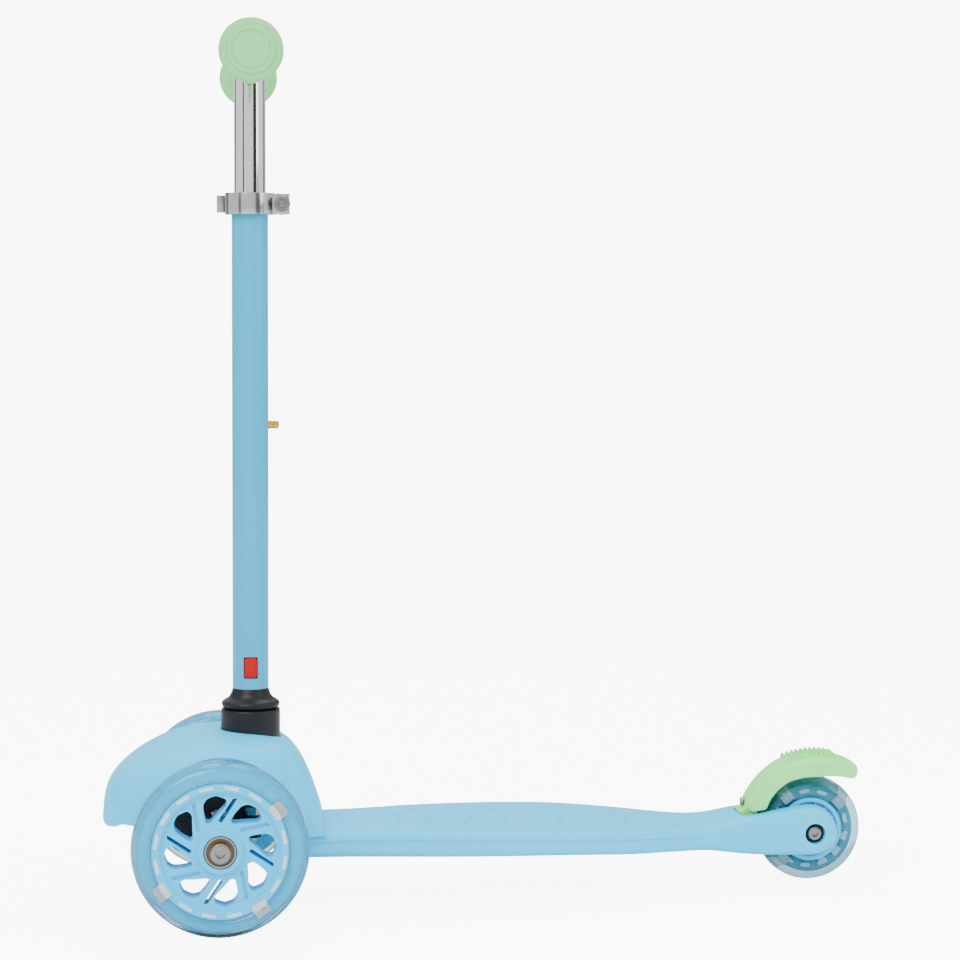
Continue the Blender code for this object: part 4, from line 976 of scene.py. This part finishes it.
def area_light(name, place, target, size, power):
    data = bpy.data.lights.new(name, "AREA")
    data.shape = "RECTANGLE"
    data.size, data.size_y = size
    data.energy = power
    obj = bpy.data.objects.new(name, data)
    obj.location = place
    obj.rotation_euler = (Vector(target) - Vector(place)).to_track_quat("-Z", "Y").to_euler()
    bpy.context.scene.collection.objects.link(obj)
    return obj


def make_camera(look):
    data = bpy.data.cameras.new("Camera")
    data.lens = look.lens
    data.shift_y = look.shift
    data.clip_end = 50
    camera = bpy.data.objects.new("Camera", data)
    bpy.context.scene.collection.objects.link(camera)
    ahead = Vector((sin(look.yaw) * cos(look.pitch), cos(look.yaw) * cos(look.pitch), -sin(look.pitch)))
    right = Vector((cos(look.yaw), -sin(look.yaw), 0))
    above = right.cross(ahead)
    across = cos(look.roll) * right + sin(look.roll) * above
    up = -sin(look.roll) * right + cos(look.roll) * above
    turn = Matrix((across, up, -ahead)).transposed().to_4x4()
    camera.matrix_world = Matrix.Translation(look.camera_at) @ turn
    bpy.context.scene.camera = camera


# Dark cards round the stem, seen only in reflections: bearing in degrees and width.
CARDS = ((-47, 0.34), (38, 0.80), (62, 0.20), (118, 0.40), (150, 0.5), (-128, 0.55))


def make_studio(look):
    floor = bmesh.new()
    bmesh.ops.create_grid(floor, x_segments=1, y_segments=1, size=12)
    pale = plain("Pale Floor", (0.93, 0.93, 0.93), 0.7)
    shader = pale.node_tree.nodes["Principled BSDF"]
    seen = pale.node_tree.nodes.new("ShaderNodeLightPath")
    glow = pale.node_tree.nodes.new("ShaderNodeMath")
    glow.operation = "MULTIPLY"
    glow.inputs[1].default_value = look.backdrop - look.sky
    shader.inputs["Emission Color"].default_value = (1, 1, 1, 1)
    pale.node_tree.links.new(seen.outputs["Is Camera Ray"], glow.inputs[0])
    pale.node_tree.links.new(glow.outputs[0], shader.inputs["Emission Strength"])
    staged("floor", floor, pale)
    dark = plain("Dark Card", (0.01, 0.01, 0.01), 0.9)
    for index, (bearing, width) in enumerate(CARDS):
        card = bmesh.new()
        turn = Matrix.Translation((STEM_X, 0, 0.6)) @ Matrix.Rotation(radians(bearing), 4, "Z")
        block((-width / 2, width / 2), (-1.804, -1.8), (-0.58, 0.6), turn, card)
        obj = staged(f"card_{index}", card, dark)
        for ray in ("camera", "shadow", "diffuse", "transmission"):
            setattr(obj, f"visible_{ray}", False)
    world = bpy.data.worlds.new("Studio")
    world.use_nodes = True
    sky = world.node_tree.nodes["Background"]
    sky.inputs["Color"].default_value = (1, 1, 1, 1)
    path = world.node_tree.nodes.new("ShaderNodeLightPath")
    strength = world.node_tree.nodes.new("ShaderNodeMapRange")
    strength.inputs["To Min"].default_value = look.sky
    strength.inputs["To Max"].default_value = look.backdrop
    world.node_tree.links.new(path.outputs["Is Camera Ray"], strength.inputs["Value"])
    world.node_tree.links.new(strength.outputs["Result"], sky.inputs["Strength"])
    bpy.context.scene.world = world
    area_light("Key", (-1.3, -2.0, 2.4), (0, 0, 0.25), (1.6, 1.6), look.key)
    area_light("Fill", (2.0, -1.6, 1.3), (0, 0, 0.25), (1.5, 1.5), look.key * 0.35)
    area_light("Top", (0.1, 0.9, 2.6), (0, 0, 0.2), (1.8, 1.8), look.key * 0.5)


# ---------------------------------------------------------------- add-on
class ScooterLook(bpy.types.PropertyGroup):
    """Colours, edge size and fineness of the finished surfaces."""

    body_colour: FloatVectorProperty(name="Body", description="Moulded deck and shell", subtype="COLOR",
                                     default=(0.003, 0.58, 0.98), min=0, max=1)
    tube_colour: FloatVectorProperty(name="Tube", description="Painted stem tube", subtype="COLOR",
                                     default=(0.003, 0.36, 0.60), min=0, max=1)
    wheel_colour: FloatVectorProperty(name="Wheels", description="Spoked wheel cores", subtype="COLOR",
                                      default=(0.003, 0.54, 0.92), min=0, max=1)
    fender_colour: FloatVectorProperty(name="Fender", description="Stomp brake", subtype="COLOR",
                                       default=(0.24, 0.90, 0.24), min=0, max=1)
    grip_colour: FloatVectorProperty(name="Grips", description="Soft hand grips", subtype="COLOR",
                                     default=(0.20, 0.66, 0.23), min=0, max=1)
    edge: FloatProperty(name="Edge", description="Rounding of moulded edges", default=0.0009, min=0.0001,
                        max=0.003, unit="LENGTH")
    segments: IntProperty(name="Segments", description="Steps round a turned piece", default=96, min=24,
                          max=256)


class ScooterStudio(bpy.types.PropertyGroup):
    """Camera and light."""

    camera_at: FloatVectorProperty(name="Camera", description="Camera position", subtype="TRANSLATION",
                                   default=(FRONT_X + 0.01334, -1.8107, 0.4363))
    yaw: FloatProperty(name="Yaw", description="Turn to the right", default=radians(5.558), subtype="ANGLE")
    pitch: FloatProperty(name="Pitch", description="Tilt down", default=radians(3.341), subtype="ANGLE")
    roll: FloatProperty(name="Roll", description="Turn about the view", default=radians(-0.951),
                        subtype="ANGLE")
    lens: FloatProperty(name="Lens", description="Focal length in millimetres", default=96.05, min=10,
                        max=300)
    shift: FloatProperty(name="Shift", description="Vertical lens shift", default=-0.05, min=-0.5, max=0.5)
    sky: FloatProperty(name="Sky", description="Strength of the surrounding light", default=1.2, min=0,
                       max=20)
    backdrop: FloatProperty(name="Backdrop", description="Brightness of the backdrop as the camera sees it",
                            default=9.0, min=0, max=20)
    key: FloatProperty(name="Key", description="Main lamp power in watts", default=85.0, min=0, max=2000)


FRAME = {}


def paint_box():
    if not FRAME.get("paint"):
        FRAME["paint"] = finishes(bpy.context.scene.scooter_look)
    return FRAME["paint"]


class SCOOTER_OT_moulding(bpy.types.Operator):
    """Builds the deck with its tread and the front shell"""

    bl_idname = "scooter.moulding"
    bl_label = "Deck and Shell"

    def execute(self, context):
        make_deck(context.scene.scooter_look, paint_box())
        make_shell(context.scene.scooter_look, paint_box())
        return {"FINISHED"}


class SCOOTER_OT_stem(bpy.types.Operator):
    """Builds the painted tube, its collar, button and detent pin"""

    bl_idname = "scooter.stem"
    bl_label = "Stem"

    def execute(self, context):
        make_stem(context.scene.scooter_look, paint_box())
        return {"FINISHED"}


class SCOOTER_OT_handlebar(bpy.types.Operator):
    """Builds the chromed bar, its grips and the clamp"""

    bl_idname = "scooter.handlebar"
    bl_label = "Handlebar and Clamp"

    def execute(self, context):
        make_handlebar(context.scene.scooter_look, paint_box())
        make_clamp(context.scene.scooter_look, paint_box())
        return {"FINISHED"}


class SCOOTER_OT_wheels(bpy.types.Operator):
    """Builds the three clear wheels and their axle bolts"""

    bl_idname = "scooter.wheels"
    bl_label = "Wheels"

    def execute(self, context):
        for side, name in ((-1, "left"), (1, "right")):
            make_front_wheel(side, name, context.scene.scooter_look, paint_box())
        make_rear_wheel(context.scene.scooter_look, paint_box())
        return {"FINISHED"}


class SCOOTER_OT_fender(bpy.types.Operator):
    """Builds the stomp brake and its screw"""

    bl_idname = "scooter.fender"
    bl_label = "Fender"

    def execute(self, context):
        make_fender(context.scene.scooter_look, paint_box())
        return {"FINISHED"}


class SCOOTER_OT_truck(bpy.types.Operator):
    """Finishes the pieces whose CAD shape is kept"""

    bl_idname = "scooter.truck"
    bl_label = "Truck and Small Parts"

    def execute(self, context):
        dress_kept(paint_box(), FRAME["frame"])
        dress_giving(paint_box(), FRAME["frame"])
        return {"FINISHED"}


class SCOOTER_OT_studio(bpy.types.Operator):
    """Sets up the floor, lights and camera"""

    bl_idname = "scooter.studio"
    bl_label = "Studio"

    def execute(self, context):
        make_studio(context.scene.scooter_studio)
        make_camera(context.scene.scooter_studio)
        return {"FINISHED"}


OPERATORS = (SCOOTER_OT_moulding, SCOOTER_OT_stem, SCOOTER_OT_handlebar, SCOOTER_OT_wheels, SCOOTER_OT_fender,
             SCOOTER_OT_truck, SCOOTER_OT_studio)


class SCOOTER_PT_panel(bpy.types.Panel):
    """Lists the build steps and their settings."""

    bl_idname = "SCOOTER_PT_panel"
    bl_label = "Kick Scooter"
    bl_space_type = "VIEW_3D"
    bl_region_type = "UI"
    bl_category = "Scooter"

    def draw(self, context):
        for group in (context.scene.scooter_look, context.scene.scooter_studio):
            for name in type(group).__annotations__:
                self.layout.prop(group, name)
        for step in OPERATORS:
            self.layout.operator(step.bl_idname)


CLASSES = (ScooterLook, ScooterStudio, *OPERATORS, SCOOTER_PT_panel)


def register():
    for item in CLASSES:
        bpy.utils.register_class(item)
    bpy.types.Scene.scooter_look = PointerProperty(type=ScooterLook)
    bpy.types.Scene.scooter_studio = PointerProperty(type=ScooterStudio)


def unregister():
    del bpy.types.Scene.scooter_studio
    del bpy.types.Scene.scooter_look
    for item in reversed(CLASSES):
        bpy.utils.unregister_class(item)


def main():
    register()
    FRAME["frame"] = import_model()
    bpy.ops.scooter.moulding()
    bpy.ops.scooter.stem()
    bpy.ops.scooter.handlebar()
    bpy.ops.scooter.wheels()
    bpy.ops.scooter.fender()
    bpy.ops.scooter.truck()
    bpy.ops.scooter.studio()


if __name__ == "__main__":
    main()
